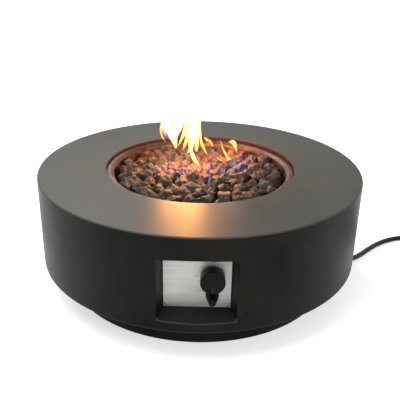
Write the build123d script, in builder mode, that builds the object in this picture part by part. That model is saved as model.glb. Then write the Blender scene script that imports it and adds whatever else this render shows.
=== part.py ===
from build123d import *
import os
from math import ceil, cos, hypot, pi, radians, sin, sqrt, tan
from random import Random

os.makedirs("parts", exist_ok=True)

# Concrete fire pit table, in millimetres. The origin is on the floor under the middle of the
# round table, +Z is up, and the control pocket faces -Y.

# Driving dimensions of the concrete
table_diameter = 680.0
table_height = 250.0
underside_height = 62.0
drum_wall = 20.0
top_thickness = 26.0
bottom_lip_thickness = 16.0
outer_edge_round = 3.0
opening_diameter = 400.0
opening_edge_round = 1.5
ledge_depth = 8.0
plinth_diameter = 572.0
plinth_wall = 20.0
lip_overhang = 4.0
plinth_edge_round = 3.0

# Fasteners of the plinth and its rubber pads
plinth_bolt_count = 6
plinth_bolt_radius = 3.0
plinth_bolt_grip = 22.0
bolt_head_radius = 6.0
bolt_head_height = 5.0
bolt_clearance = 0.4
thread_clearance = 0.05
screw_tip_gap = 1.0
thread_runout = 2.0
washer_radius = 8.0
washer_thickness = 1.6
foot_pad_count = 6
foot_pad_radius = 6.5
foot_pad_height = 8.0
foot_pad_proud = 1.0
foot_pad_clearance = 0.3

# Control pocket and the steel plate at its back
pocket_depth = 40.0
pocket_flare_side = 13.5
pocket_flare_low = 9.7
pocket_flare_high = 17.9
pocket_mouth_reach = 2.0
pocket_corner_round = 4.0
pocket_edge_round = 1.5
pocket_block_wall = 11.0
plate_width = 120.0
plate_height = 98.0
plate_thickness = 1.2
plate_low = 91.3
plate_gap = 1.0
plate_corner_round = 2.0
pocket_back_wall = 14.0
plate_screw_inset = 5.2
plate_screw_radius = 1.8
plate_screw_length = 12.0
plate_screw_head_radius = 3.4
plate_screw_head_height = 1.8
window_width = 46.0
window_margin = 8.0

# Gas valve and its knob
control_x = 27.0
valve_rise = 63.7
valve_width = 34.0
valve_height = 36.0
valve_length = 44.0
bonnet_thickness = 4.0
plunger_radius = 8.0
plunger_length = 8.0
plunger_clearance = 0.2
plunger_rest_gap = 0.5
knob_travel = 4.0
stem_radius = 4.0
stem_neck_radius = 2.9
stem_clearance = 0.05
stem_collar_radius = 6.0
stem_collar_length = 2.0
stem_tail_radius = 2.0
stem_tail_length = 5.0
valve_spring_gap = 1.4
valve_spring_wire = 1.4
knob_radius = 22.0
knob_protrusion = 25.0
knob_bottom_gap = 0.6
knob_wall = 2.2
knob_edge_round = 1.5
knob_boss_wall = 3.0
pointer_width = 1.6
pointer_length = 12.0
pointer_depth = 0.8
valve_screw_inset = 5.0
valve_screw_radius = 2.0
valve_screw_length = 12.0
valve_screw_head_radius = 3.6
valve_screw_head_height = 1.6

# Push-button igniter under the knob
igniter_gap = 4.0
igniter_body_radius = 10.5
igniter_body_length = 44.0
igniter_flange_width = 1.2
igniter_flange_length = 6.0
igniter_wall = 1.6
igniter_button_reach = 30.0
igniter_button_clearance = 0.25
igniter_button_travel = 4.0
igniter_cap_gap = 0.5
igniter_cap_inset = 0.8
igniter_tip_radius = 6.0
igniter_button_round = 2.6
igniter_nut_width = 4.0
igniter_nut_length = 5.0
igniter_spring_pack = 8.0
igniter_spring_wire = 1.2
igniter_terminal_radius = 3.0
igniter_terminal_length = 6.0

# Burner pan
pan_flange_gap = 3.0
pan_flange_width = 6.0
pan_shoulder_width = 6.85
pan_shoulder_drop = 5.0
pan_ledge_clearance = 1.0
pan_wall_lean = 16.15
pan_depth = 65.0
pan_sheet = 1.5
pan_drain_radius = 4.0
pan_drain_count = 6
pan_drain_circle = 120.0

# Ring burner and the air mixer under it
burner_ring_radius = 95.0
burner_tube_radius = 8.0
burner_tube_wall = 1.2
burner_cross_radius = 6.4
burner_tube_rise = 20.0
burner_hub_radius = 16.0
burner_stub_radius = 10.0
burner_stub_drop = 27.0
burner_port_count = 20
burner_port_radius = 1.0
burner_nut_radius = 15.0
burner_nut_height = 8.0
mixer_radius = 13.0
mixer_wall = 2.6
mixer_length = 54.0
mixer_lap = 14.0
mixer_slot_width = 6.0
mixer_slot_height = 16.0
jet_radius = 5.0
jet_length = 12.0
jet_hex_radius = 9.5
jet_hex_length = 8.0
jet_bore_radius = 0.8

# Gas tube from the valve to the jet
gas_tube_radius = 4.0
gas_tube_wall = 0.8
gas_tube_dip = 26.0
tube_nut_wall = 4.5
tube_nut_length = 11.0

# Pilot bracket, its guard, the spark electrode and the thermocouple
pilot_x = 48.0
pilot_y = -125.0
pilot_foot = 24.0
pilot_height = 61.0
pilot_sheet = 1.2
pilot_clear_radius = 18.0
guard_round = 8.0
guard_slot_margin = 4.5
guard_slot_height = 2.0
guard_slot_pitch = 4.2
guard_slot_rows = 2
probe_spacing = 12.0
electrode_rod_radius = 1.2
ceramic_radius = 3.0
ceramic_proud = 3.3
electrode_reach = 8.0
thermocouple_radius = 3.2
thermocouple_proud = 9.3
probe_drop = 12.0
probe_clearance = 0.2
ignition_wire_radius = 1.5
thermocouple_lead_radius = 1.2

# Lava rocks, in two layers of irregular lumps wedged beside each other
rock_spacing = 34.0
rock_scatter = 6.5
rock_gap = 0.3
rock_layer_gap = 0.5
rock_low_drop = 11.0
rock_high_drop = 2.5
rock_least_area = 300.0
rock_least_edge = 3.0
rock_seed = 11

# Gas hose, its grommet and the coil of the length that is put away
hose_radius = 6.0
hose_exit_angle = 2.0
hose_exit_z = 24.0
grommet_wall = 3.0
grommet_flange = 4.0
grommet_flange_thickness = 2.5
grommet_clearance = 0.1
inner_hose_lead = 26.0
inlet_fitting_radius = 8.0
inlet_fitting_length = 22.0
inlet_margin = 1.0
coil_turn_gap = 0.8
coil_outer_radius = 76.4
coil_center_x = 584.0
coil_center_y = 84.6
coil_lead_in = 12.0
coil_lead_out = 74.0
tie_width = 12.0
tie_thickness = 1.1
tie_clearance = 0.4
tie_floor_gap = 0.1

# Regulator and its hand nut on the far end of the hose
ferrule_wall = 2.4
ferrule_length = 26.0
ferrule_lap = 20.0
ferrule_clearance = 0.1
gas_bore_radius = 3.0
regulator_radius = 32.0
regulator_floor_gap = 0.2
regulator_base_top = 23.0
regulator_top = 37.0
regulator_port_radius = 9.0
regulator_port_length = 10.0
regulator_seat_gap = 0.3
regulator_screw_count = 6
regulator_screw_radius = 2.0
regulator_screw_circle = 27.5
regulator_screw_grip = 6.0
regulator_screw_head_radius = 3.4
regulator_screw_head_height = 2.0
regulator_flange_height = 4.0
regulator_dome_radius = 23.0
regulator_edge_round = 4.0
regulator_vent_radius = 5.0
regulator_vent_height = 4.0
nipple_radius = 7.8
nipple_neck_length = 14.0
nipple_collar_radius = 12.0
nipple_collar_length = 3.0
nipple_nose_radius = 7.0
nipple_nose_length = 17.0
nipple_chamfer = 1.0
nut_wall = 2.9
nut_length = 30.0
nut_rear_wall = 4.0
nut_bore_gap = 2.5
nut_clearance = 0.3
nut_rib_count = 12
nut_groove_radius = 1.6

# Levels and radii that follow from the driving dimensions
table_radius = table_diameter / 2
opening_radius = opening_diameter / 2
pan_flange_radius = opening_radius - pan_flange_gap
pan_bend_radius = pan_flange_radius - pan_flange_width
pan_rim_radius = pan_bend_radius - pan_shoulder_width
pan_floor_radius = pan_rim_radius - pan_wall_lean
ledge_radius = pan_bend_radius + pan_sheet + pan_ledge_clearance
ledge_z = table_height - ledge_depth
top_underside_z = table_height - top_thickness
plinth_radius = plinth_diameter / 2
plinth_inner_radius = plinth_radius - plinth_wall
lip_radius = plinth_inner_radius - lip_overhang
lip_top_z = underside_height + bottom_lip_thickness
plinth_bolt_circle = plinth_radius - plinth_wall / 2
pocket_mouth_width = plate_width + 2 * pocket_flare_side
pocket_mouth_low = plate_low - pocket_flare_low
pocket_mouth_high = plate_low + plate_height + pocket_flare_high
plate_front_y = pocket_depth - table_radius
plate_back_y = plate_front_y + plate_thickness
plate_z = plate_low + plate_height / 2
valve_z = plate_low + valve_rise
back_wall_rear_y = plate_back_y + pocket_back_wall
pan_flange_top_z = ledge_z + pan_sheet
pan_floor_top_z = pan_flange_top_z - pan_depth
pan_floor_under_z = pan_floor_top_z - pan_sheet
burner_z = pan_floor_top_z + burner_tube_rise
stub_low_z = pan_floor_under_z - burner_stub_drop
mixer_top_z = stub_low_z + mixer_lap
mixer_low_z = mixer_top_z - mixer_length
jet_low_z = mixer_low_z - jet_hex_length
electrode_x = pilot_x - probe_spacing / 2
thermocouple_x = pilot_x + probe_spacing / 2
bonnet_rear_y = plate_back_y + bonnet_thickness
valve_rear_y = bonnet_rear_y + valve_length
plunger_front_y = bonnet_rear_y + plunger_rest_gap
plunger_rear_y = plunger_front_y + plunger_length
collar_front_y = plunger_rear_y + thread_clearance
collar_rear_y = collar_front_y + stem_collar_length
spring_seat_y = collar_rear_y + knob_travel + stem_tail_length + plunger_rest_gap
knob_rear_y = plate_front_y - knob_travel - knob_bottom_gap
knob_face_y = plate_front_y - knob_protrusion
knob_boss_radius = stem_radius + knob_boss_wall
valve_screw_spacing = valve_width - 2 * valve_screw_inset
valve_spring_radius = plunger_radius - valve_spring_gap
igniter_flange_radius = igniter_body_radius + igniter_flange_width
igniter_nut_radius = igniter_body_radius + igniter_nut_width
igniter_z = valve_z - knob_radius - igniter_gap - igniter_flange_radius


def front_plane(x, y, z):
    """A sketching plane square to Y at one place, with its normal towards the front."""
    return Plane(origin=(x, y, z), x_dir=(1, 0, 0), z_dir=(0, -1, 0))


def right_plane(x, y, z):
    """A sketching plane square to X at one place, with its normal towards +X."""
    return Plane(origin=(x, y, z), x_dir=(0, 1, 0), z_dir=(1, 0, 0))


# The concrete drum: top ring with a rebated opening, side wall and an inward lip at the bottom
pocket_block_half = pocket_mouth_width / 2 + pocket_block_wall
pocket_block_front = sqrt(table_radius**2 - pocket_block_half**2) - outer_edge_round
window_z = plate_z
window_height = plate_height - 2 * window_margin
with BuildPart() as table_body:
    with BuildSketch(Plane.XZ) as drum_profile:
        with BuildLine():
            Polyline(
                (lip_radius, underside_height),
                (table_radius, underside_height),
                (table_radius, table_height),
                (opening_radius, table_height),
                (opening_radius, ledge_z),
                (ledge_radius, ledge_z),
                (ledge_radius, top_underside_z),
                (table_radius - drum_wall, top_underside_z),
                (table_radius - drum_wall, lip_top_z),
                (lip_radius, lip_top_z),
                close=True,
            )
        make_face()
        fillet(drum_profile.vertices().group_by(Axis.X)[-1], outer_edge_round)
        opening_corner = drum_profile.vertices().group_by(Axis.Y)[-1].sort_by(Axis.X)[0]
        fillet(opening_corner, opening_edge_round)
    revolve(axis=Axis.Z)
    with BuildSketch(front_plane(0, back_wall_rear_y, 0)):
        block_low = underside_height + bottom_lip_thickness / 2
        block_high = table_height - top_thickness / 2
        with Locations((0, (block_low + block_high) / 2)):
            Rectangle(2 * pocket_block_half, block_high - block_low)
    extrude(amount=pocket_block_front + back_wall_rear_y)
    with BuildSketch(front_plane(0, plate_back_y, plate_z)):
        RectangleRounded(
            plate_width + 2 * plate_gap, plate_height + 2 * plate_gap, plate_corner_round + plate_gap
        )
    mouth_middle = (pocket_mouth_low + pocket_mouth_high) / 2
    with BuildSketch(front_plane(0, -table_radius - pocket_mouth_reach, mouth_middle)):
        RectangleRounded(pocket_mouth_width, pocket_mouth_high - pocket_mouth_low, pocket_corner_round)
    loft(mode=Mode.SUBTRACT)
    drum_face = table_body.faces().filter_by(GeomType.CYLINDER).sort_by(SortBy.AREA)[-1]
    fillet(drum_face.inner_wires()[0].edges(), pocket_edge_round)
    with BuildSketch(front_plane(control_x, back_wall_rear_y, window_z)):
        Rectangle(window_width, window_height)
    extrude(amount=pocket_back_wall, mode=Mode.SUBTRACT)
    with BuildSketch(front_plane(0, plate_back_y, plate_z)):
        with GridLocations(
            plate_width - 2 * plate_screw_inset, plate_height - 2 * plate_screw_inset, 2, 2
        ):
            Circle(plate_screw_radius + thread_clearance)
    extrude(amount=-plate_screw_length, mode=Mode.SUBTRACT)
    with BuildSketch(Plane.XY.offset(underside_height)):
        with PolarLocations(plinth_bolt_circle, plinth_bolt_count):
            Circle(plinth_bolt_radius + bolt_clearance)
    extrude(amount=bottom_lip_thickness, mode=Mode.SUBTRACT)
table_body.part.label = "table_body"
export_step(table_body.part, "parts/table_body.step")

# The plinth: a concrete ring set back under the drum, with a hole for the gas hose
hose_hole_radius = hose_radius + grommet_clearance + grommet_wall
exit_direction = Vector(cos(radians(hose_exit_angle)), sin(radians(hose_exit_angle)), 0)
plinth_bolt_depth = plinth_bolt_grip + thread_runout
with BuildPart() as base_plinth:
    with BuildSketch(Plane.XZ) as plinth_profile:
        with BuildLine():
            Polyline(
                (plinth_inner_radius, foot_pad_proud),
                (plinth_radius, foot_pad_proud),
                (plinth_radius, underside_height),
                (plinth_inner_radius, underside_height),
                close=True,
            )
        make_face()
        low_corners = plinth_profile.vertices().group_by(Axis.Y)[0]
        fillet(low_corners.sort_by(Axis.X)[-1], plinth_edge_round)
    revolve(axis=Axis.Z)
    with BuildSketch(Plane.XY.offset(underside_height)):
        with PolarLocations(plinth_bolt_circle, plinth_bolt_count):
            Circle(plinth_bolt_radius + thread_clearance)
    extrude(amount=-plinth_bolt_depth, mode=Mode.SUBTRACT)
    with BuildSketch(Plane.XY.offset(foot_pad_proud)):
        with PolarLocations(plinth_bolt_circle, foot_pad_count, start_angle=180 / foot_pad_count):
            Circle(foot_pad_radius + foot_pad_clearance)
    extrude(amount=foot_pad_height - foot_pad_proud, mode=Mode.SUBTRACT)
    hole_start = exit_direction * (plinth_inner_radius - plinth_wall) + Vector(0, 0, hose_exit_z)
    with BuildSketch(Plane(origin=hole_start, z_dir=exit_direction)):
        Circle(hose_hole_radius)
    extrude(amount=3 * plinth_wall, mode=Mode.SUBTRACT)
base_plinth.part.label = "base_plinth"
export_step(base_plinth.part, "parts/base_plinth.step")

with BuildPart() as foot_pads:
    with BuildSketch():
        with PolarLocations(plinth_bolt_circle, foot_pad_count, start_angle=180 / foot_pad_count):
            Circle(foot_pad_radius)
    extrude(amount=foot_pad_height)
foot_pads.part.label = "foot_pads"
export_step(foot_pads.part, "parts/foot_pads.step")

with BuildPart() as plinth_washers:
    with BuildSketch(Plane.XY.offset(lip_top_z)):
        with PolarLocations(plinth_bolt_circle, plinth_bolt_count):
            Circle(washer_radius)
            Circle(plinth_bolt_radius + bolt_clearance, mode=Mode.SUBTRACT)
    extrude(amount=washer_thickness)
plinth_washers.part.label = "plinth_washers"
export_step(plinth_washers.part, "parts/plinth_washers.step")

with BuildPart() as plinth_bolts:
    bolt_head_z = lip_top_z + washer_thickness
    with BuildSketch(Plane.XY.offset(underside_height - plinth_bolt_grip)):
        with PolarLocations(plinth_bolt_circle, plinth_bolt_count):
            Circle(plinth_bolt_radius)
    extrude(amount=plinth_bolt_grip + bottom_lip_thickness + washer_thickness)
    with BuildSketch(Plane.XY.offset(bolt_head_z)):
        with PolarLocations(plinth_bolt_circle, plinth_bolt_count):
            RegularPolygon(bolt_head_radius, 6)
    extrude(amount=bolt_head_height)
plinth_bolts.part.label = "plinth_bolts"
export_step(plinth_bolts.part, "parts/plinth_bolts.step")

# The steel plate at the back of the pocket, with holes for the valve stem, its screws and the igniter
with BuildPart() as control_plate:
    with BuildSketch(front_plane(0, plate_back_y, plate_z)):
        RectangleRounded(plate_width, plate_height, plate_corner_round)
        with GridLocations(
            plate_width - 2 * plate_screw_inset, plate_height - 2 * plate_screw_inset, 2, 2
        ):
            Circle(plate_screw_radius + bolt_clearance, mode=Mode.SUBTRACT)
        with Locations((control_x, valve_z - plate_z)):
            Circle(stem_radius + plunger_clearance, mode=Mode.SUBTRACT)
            with GridLocations(valve_screw_spacing, 0, 2, 1):
                Circle(valve_screw_radius + bolt_clearance, mode=Mode.SUBTRACT)
        with Locations((control_x, igniter_z - plate_z)):
            Circle(igniter_body_radius + plunger_clearance, mode=Mode.SUBTRACT)
    extrude(amount=plate_thickness)
control_plate.part.label = "control_plate"
export_step(control_plate.part, "parts/control_plate.step")

with BuildPart() as plate_screws:
    with BuildSketch(front_plane(0, plate_front_y, plate_z)):
        with GridLocations(
            plate_width - 2 * plate_screw_inset, plate_height - 2 * plate_screw_inset, 2, 2
        ):
            Circle(plate_screw_radius)
    extrude(amount=plate_thickness - plate_screw_length)
    with BuildSketch(front_plane(0, plate_front_y, plate_z)):
        with GridLocations(
            plate_width - 2 * plate_screw_inset, plate_height - 2 * plate_screw_inset, 2, 2
        ):
            Circle(plate_screw_head_radius)
    extrude(amount=plate_screw_head_height)
    head_rims = plate_screws.edges().filter_by(GeomType.CIRCLE).group_by(Axis.Y)[0]
    chamfer(head_rims, plate_screw_head_height / 3)
plate_screws.part.label = "plate_screws"
export_step(plate_screws.part, "parts/plate_screws.step")

# The valve: body with a plunger bore, bonnet, sliding plunger, turning stem and return spring
plunger_bore = plunger_radius + plunger_clearance
with BuildPart() as valve_body:
    with BuildSketch(front_plane(control_x, valve_rear_y, valve_z)):
        RectangleRounded(valve_width, valve_height, plate_corner_round)
    extrude(amount=valve_length)
    with BuildSketch(front_plane(control_x, bonnet_rear_y, valve_z)):
        Circle(plunger_bore)
    extrude(amount=bonnet_rear_y - spring_seat_y, mode=Mode.SUBTRACT)
    with BuildSketch(front_plane(control_x, bonnet_rear_y, valve_z)):
        with GridLocations(valve_screw_spacing, 0, 2, 1):
            Circle(valve_screw_radius + thread_clearance)
    extrude(amount=-valve_screw_length, mode=Mode.SUBTRACT)
    with BuildSketch(front_plane(control_x, valve_rear_y, valve_z)):
        Circle(gas_tube_radius + thread_clearance)
    extrude(amount=valve_rear_y - spring_seat_y, mode=Mode.SUBTRACT)
    inlet_y = valve_rear_y - inlet_fitting_radius - inlet_margin
    with BuildSketch(right_plane(control_x + valve_width / 2, inlet_y, valve_z)):
        Circle(gas_tube_radius)
    extrude(amount=-(valve_width / 2), mode=Mode.SUBTRACT)
valve_body.part.label = "valve_body"
export_step(valve_body.part, "parts/valve_body.step")

with BuildPart() as valve_bonnet:
    with BuildSketch(front_plane(control_x, bonnet_rear_y, valve_z)):
        RectangleRounded(valve_width, valve_height, plate_corner_round)
        Circle(stem_radius + plunger_clearance, mode=Mode.SUBTRACT)
        with GridLocations(valve_screw_spacing, 0, 2, 1):
            Circle(valve_screw_radius + bolt_clearance, mode=Mode.SUBTRACT)
    extrude(amount=bonnet_thickness)
valve_bonnet.part.label = "valve_bonnet"
export_step(valve_bonnet.part, "parts/valve_bonnet.step")

with BuildPart() as valve_screws:
    with BuildSketch(front_plane(control_x, plate_front_y, valve_z)):
        with GridLocations(valve_screw_spacing, 0, 2, 1):
            Circle(valve_screw_head_radius)
    extrude(amount=valve_screw_head_height)
    with BuildSketch(front_plane(control_x, plate_front_y, valve_z)):
        with GridLocations(valve_screw_spacing, 0, 2, 1):
            Circle(valve_screw_radius)
    extrude(amount=plate_front_y - bonnet_rear_y - valve_screw_length + screw_tip_gap)
valve_screws.part.label = "valve_screws"
export_step(valve_screws.part, "parts/valve_screws.step")

with BuildPart() as valve_plunger:
    with BuildSketch(front_plane(control_x, plunger_rear_y, valve_z)):
        Circle(plunger_radius)
        Circle(stem_neck_radius + stem_clearance, mode=Mode.SUBTRACT)
    extrude(amount=plunger_length)
valve_plunger.part.label = "valve_plunger"
export_step(valve_plunger.part, "parts/valve_plunger.step")

stem_front_y = knob_face_y + knob_wall + thread_runout
with BuildPart() as valve_stem:
    with BuildSketch(front_plane(control_x, plunger_front_y - thread_clearance, valve_z)):
        Circle(stem_radius)
    extrude(amount=plunger_front_y - thread_clearance - stem_front_y)
    with BuildSketch(front_plane(control_x, collar_front_y, valve_z)):
        Circle(stem_neck_radius)
    extrude(amount=collar_front_y - plunger_front_y + thread_clearance)
    with BuildSketch(front_plane(control_x, collar_rear_y, valve_z)):
        Circle(stem_collar_radius)
    extrude(amount=stem_collar_length)
    with BuildSketch(front_plane(control_x, collar_rear_y + stem_tail_length, valve_z)):
        Circle(stem_tail_radius)
    extrude(amount=stem_tail_length)
valve_stem.part.label = "valve_stem"
export_step(valve_stem.part, "parts/valve_stem.step")

with BuildPart() as valve_spring:
    with BuildSketch(front_plane(control_x, spring_seat_y, valve_z)):
        Circle(valve_spring_radius)
        Circle(valve_spring_radius - valve_spring_wire, mode=Mode.SUBTRACT)
    extrude(amount=spring_seat_y - collar_rear_y)
valve_spring.part.label = "valve_spring"
export_step(valve_spring.part, "parts/valve_spring.step")

# The pointer line let into the knob's face, at its lower end where the knob rests at low
with BuildPart() as knob_pointer:
    pointer_z = valve_z - knob_radius + pointer_length / 2 + 2 * knob_edge_round
    with BuildSketch(front_plane(control_x, knob_face_y, pointer_z)):
        Rectangle(pointer_width, pointer_length)
    extrude(amount=-pointer_depth)
knob_pointer.part.label = "knob_pointer"
export_step(knob_pointer.part, "parts/knob_pointer.step")

# The knob: a round cup with a flat face and a boss that grips the stem
knob_length = knob_rear_y - knob_face_y
with BuildPart() as control_knob:
    with BuildSketch(front_plane(control_x, knob_rear_y, valve_z)):
        Circle(knob_radius)
    extrude(amount=knob_length)
    face_rim = control_knob.faces().sort_by(Axis.Y)[0].edges()
    fillet(face_rim, knob_edge_round)
    with BuildSketch(front_plane(control_x, knob_rear_y, valve_z)):
        Circle(knob_radius - knob_wall)
        Circle(knob_boss_radius, mode=Mode.SUBTRACT)
    extrude(amount=knob_length - knob_wall - pointer_depth, mode=Mode.SUBTRACT)
    with BuildSketch(front_plane(control_x, knob_rear_y, valve_z)):
        Circle(stem_radius + stem_clearance)
    extrude(amount=knob_rear_y - stem_front_y + stem_clearance, mode=Mode.SUBTRACT)
    add(knob_pointer.part, mode=Mode.SUBTRACT)
control_knob.part.label = "control_knob"
export_step(control_knob.part, "parts/control_knob.step")

# The igniter: a threaded housing through the plate, its nut, push button, spring and terminal
igniter_rear_y = plate_back_y + igniter_body_length
igniter_bore = igniter_body_radius - igniter_wall
button_front_y = plate_front_y - igniter_button_reach
button_rear_y = plate_back_y + igniter_flange_length
cap_rear_y = plate_front_y - igniter_flange_length - igniter_button_travel - igniter_cap_gap
button_skirt_radius = igniter_bore - igniter_button_clearance
igniter_spring_rear_y = button_rear_y + igniter_spring_pack + igniter_button_travel
with BuildPart() as igniter_housing:
    with BuildSketch(front_plane(control_x, igniter_rear_y, igniter_z)):
        Circle(igniter_body_radius)
    extrude(amount=igniter_rear_y - plate_front_y)
    with BuildSketch(front_plane(control_x, plate_front_y, igniter_z)):
        Circle(igniter_flange_radius)
    extrude(amount=igniter_flange_length)
    flange_rim = igniter_housing.faces().sort_by(Axis.Y)[0].edges()
    fillet(flange_rim, igniter_wall)
    with BuildSketch(front_plane(control_x, igniter_spring_rear_y, igniter_z)):
        Circle(igniter_bore)
    extrude(amount=igniter_spring_rear_y - plate_front_y + igniter_flange_length, mode=Mode.SUBTRACT)
igniter_housing.part.label = "igniter_housing"
export_step(igniter_housing.part, "parts/igniter_housing.step")

with BuildPart() as igniter_nut:
    with BuildSketch(front_plane(control_x, plate_back_y + igniter_nut_length, igniter_z)):
        RegularPolygon(igniter_nut_radius, 6)
        Circle(igniter_body_radius + thread_clearance, mode=Mode.SUBTRACT)
    extrude(amount=igniter_nut_length)
igniter_nut.part.label = "igniter_nut"
export_step(igniter_nut.part, "parts/igniter_nut.step")

with BuildPart() as igniter_button:
    with BuildSketch(front_plane(control_x, button_rear_y, igniter_z)):
        Circle(button_skirt_radius)
    extrude(amount=button_rear_y - cap_rear_y)
    with BuildSketch(front_plane(control_x, cap_rear_y, igniter_z)):
        Circle(igniter_flange_radius - igniter_cap_inset)
    with BuildSketch(front_plane(control_x, button_front_y, igniter_z)):
        Circle(igniter_tip_radius)
    loft()
    button_face = igniter_button.faces().sort_by(Axis.Y)[0].edges()
    fillet(button_face, igniter_button_round)
igniter_button.part.label = "igniter_button"
export_step(igniter_button.part, "parts/igniter_button.step")

with BuildPart() as igniter_spring:
    with BuildSketch(front_plane(control_x, igniter_spring_rear_y, igniter_z)):
        Circle(button_skirt_radius - igniter_wall)
        Circle(button_skirt_radius - igniter_wall - igniter_spring_wire, mode=Mode.SUBTRACT)
    extrude(amount=igniter_spring_rear_y - button_rear_y)
igniter_spring.part.label = "igniter_spring"
export_step(igniter_spring.part, "parts/igniter_spring.step")

with BuildPart() as igniter_terminal:
    with BuildSketch(front_plane(control_x, igniter_rear_y + igniter_terminal_length, igniter_z)):
        Circle(igniter_terminal_radius)
    extrude(amount=igniter_terminal_length)
igniter_terminal.part.label = "igniter_terminal"
export_step(igniter_terminal.part, "parts/igniter_terminal.step")

# The burner pan: a pressed steel dish whose flange rests on the ledge of the opening, with a
# sloping shoulder from the flange down to the wall
pan_rim_z = pan_flange_top_z - pan_shoulder_drop
wall_slope = (pan_rim_radius - pan_floor_radius) / (pan_rim_z - pan_floor_top_z)
probe_hole_radius = ceramic_radius + probe_clearance
lead_hole_radius = thermocouple_radius + probe_clearance
with BuildPart() as burner_pan:
    with BuildSketch(Plane.XZ):
        with BuildLine():
            Polyline(
                (0, pan_floor_under_z),
                (pan_floor_radius + pan_sheet, pan_floor_under_z),
                (pan_rim_radius + pan_sheet, ledge_z - pan_shoulder_drop),
                (pan_bend_radius + pan_sheet, ledge_z),
                (pan_flange_radius, ledge_z),
                (pan_flange_radius, pan_flange_top_z),
                (pan_bend_radius, pan_flange_top_z),
                (pan_rim_radius, pan_rim_z),
                (pan_floor_radius, pan_floor_top_z),
                (0, pan_floor_top_z),
                close=True,
            )
        make_face()
    revolve(axis=Axis.Z)
    with BuildSketch(Plane.XY.offset(pan_floor_under_z)):
        Circle(burner_stub_radius + plunger_clearance)
        with PolarLocations(pan_drain_circle, pan_drain_count):
            Circle(pan_drain_radius)
        with Locations((electrode_x, pilot_y)):
            Circle(probe_hole_radius)
        with Locations((thermocouple_x, pilot_y)):
            Circle(lead_hole_radius)
    extrude(amount=pan_sheet, mode=Mode.SUBTRACT)
burner_pan.part.label = "burner_pan"
export_step(burner_pan.part, "parts/burner_pan.step")

# The ring burner: ported ring, cross tube, hub and the threaded stub through the pan
burner_bore = burner_tube_radius - burner_tube_wall
cross_bore = burner_cross_radius - burner_tube_wall
stub_bore = burner_stub_radius - 2 * burner_tube_wall
hub_top_z = burner_z + burner_tube_radius
cross_reach = burner_ring_radius - burner_tube_radius + burner_tube_wall / 2
with BuildPart() as ring_burner:
    with BuildSketch(Plane.XZ):
        with Locations((burner_ring_radius, burner_z)):
            Circle(burner_tube_radius)
            Circle(burner_bore, mode=Mode.SUBTRACT)
    revolve(axis=Axis.Z)
    with BuildSketch(front_plane(0, cross_reach, burner_z)):
        Circle(burner_cross_radius)
    extrude(amount=2 * cross_reach)
    with BuildSketch(Plane.XY.offset(pan_floor_top_z)):
        Circle(burner_hub_radius)
    extrude(amount=hub_top_z - pan_floor_top_z)
    with BuildSketch(Plane.XY.offset(stub_low_z)):
        Circle(burner_stub_radius)
    extrude(amount=pan_floor_top_z - stub_low_z)
    with BuildSketch(front_plane(0, cross_reach - burner_tube_wall, burner_z)):
        Circle(cross_bore)
    extrude(amount=2 * (cross_reach - burner_tube_wall), mode=Mode.SUBTRACT)
    with BuildSketch(Plane.XY.offset(stub_low_z)):
        Circle(stub_bore)
    extrude(amount=burner_z - stub_low_z, mode=Mode.SUBTRACT)
    with BuildSketch(Plane.XY.offset(burner_z)):
        with PolarLocations(burner_ring_radius, burner_port_count, start_angle=180 / burner_port_count):
            Circle(burner_port_radius)
    extrude(amount=2 * burner_tube_radius, mode=Mode.SUBTRACT)
ring_burner.part.label = "ring_burner"
export_step(ring_burner.part, "parts/ring_burner.step")

with BuildPart() as burner_nut:
    with BuildSketch(Plane.XY.offset(pan_floor_under_z - burner_nut_height)):
        RegularPolygon(burner_nut_radius, 6)
        Circle(burner_stub_radius + thread_clearance, mode=Mode.SUBTRACT)
    extrude(amount=burner_nut_height)
burner_nut.part.label = "burner_nut"
export_step(burner_nut.part, "parts/burner_nut.step")

# The air mixer under the pan, and the jet that feeds it
mixer_middle = mixer_low_z + mixer_wall + mixer_slot_height / 2 + mixer_wall
with BuildPart() as air_mixer:
    with BuildSketch(Plane.XY.offset(mixer_low_z)):
        Circle(mixer_radius)
    extrude(amount=mixer_length)
    with BuildSketch(Plane.XY.offset(mixer_top_z)):
        Circle(burner_stub_radius + thread_clearance)
    extrude(amount=-mixer_lap, mode=Mode.SUBTRACT)
    with BuildSketch(Plane.XY.offset(mixer_low_z + mixer_wall)):
        Circle(stub_bore)
    extrude(amount=mixer_length - mixer_lap - mixer_wall, mode=Mode.SUBTRACT)
    with BuildSketch(Plane.XY.offset(mixer_low_z)):
        Circle(jet_radius + thread_clearance)
    extrude(amount=mixer_wall, mode=Mode.SUBTRACT)
    with Locations((0, 0, mixer_middle)):
        Box(3 * mixer_radius, mixer_slot_width, mixer_slot_height, mode=Mode.SUBTRACT)
        Box(mixer_slot_width, 3 * mixer_radius, mixer_slot_height, mode=Mode.SUBTRACT)
air_mixer.part.label = "air_mixer"
export_step(air_mixer.part, "parts/air_mixer.step")

with BuildPart() as gas_jet:
    with BuildSketch(Plane.XY.offset(mixer_low_z)):
        Circle(jet_radius)
    extrude(amount=jet_length)
    with BuildSketch(Plane.XY.offset(jet_low_z)):
        RegularPolygon(jet_hex_radius, 6)
    extrude(amount=jet_hex_length)
    with BuildSketch(Plane.XY.offset(jet_low_z)):
        Circle(jet_bore_radius)
    extrude(amount=jet_hex_length + jet_length, mode=Mode.SUBTRACT)
gas_jet.part.label = "gas_jet"
export_step(gas_jet.part, "parts/gas_jet.step")


def bend_radii(points):
    """The largest radius that each corner's two runs leave room for."""
    radii = []
    for before, corner, after in zip(points, points[1:], points[2:]):
        run_in = Vector(corner) - Vector(before)
        run_out = Vector(after) - Vector(corner)
        half_turn = radians(run_in.get_angle(run_out)) / 2
        radii.append(0.45 * min(run_in.length, run_out.length) / tan(half_turn))
    return radii


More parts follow.
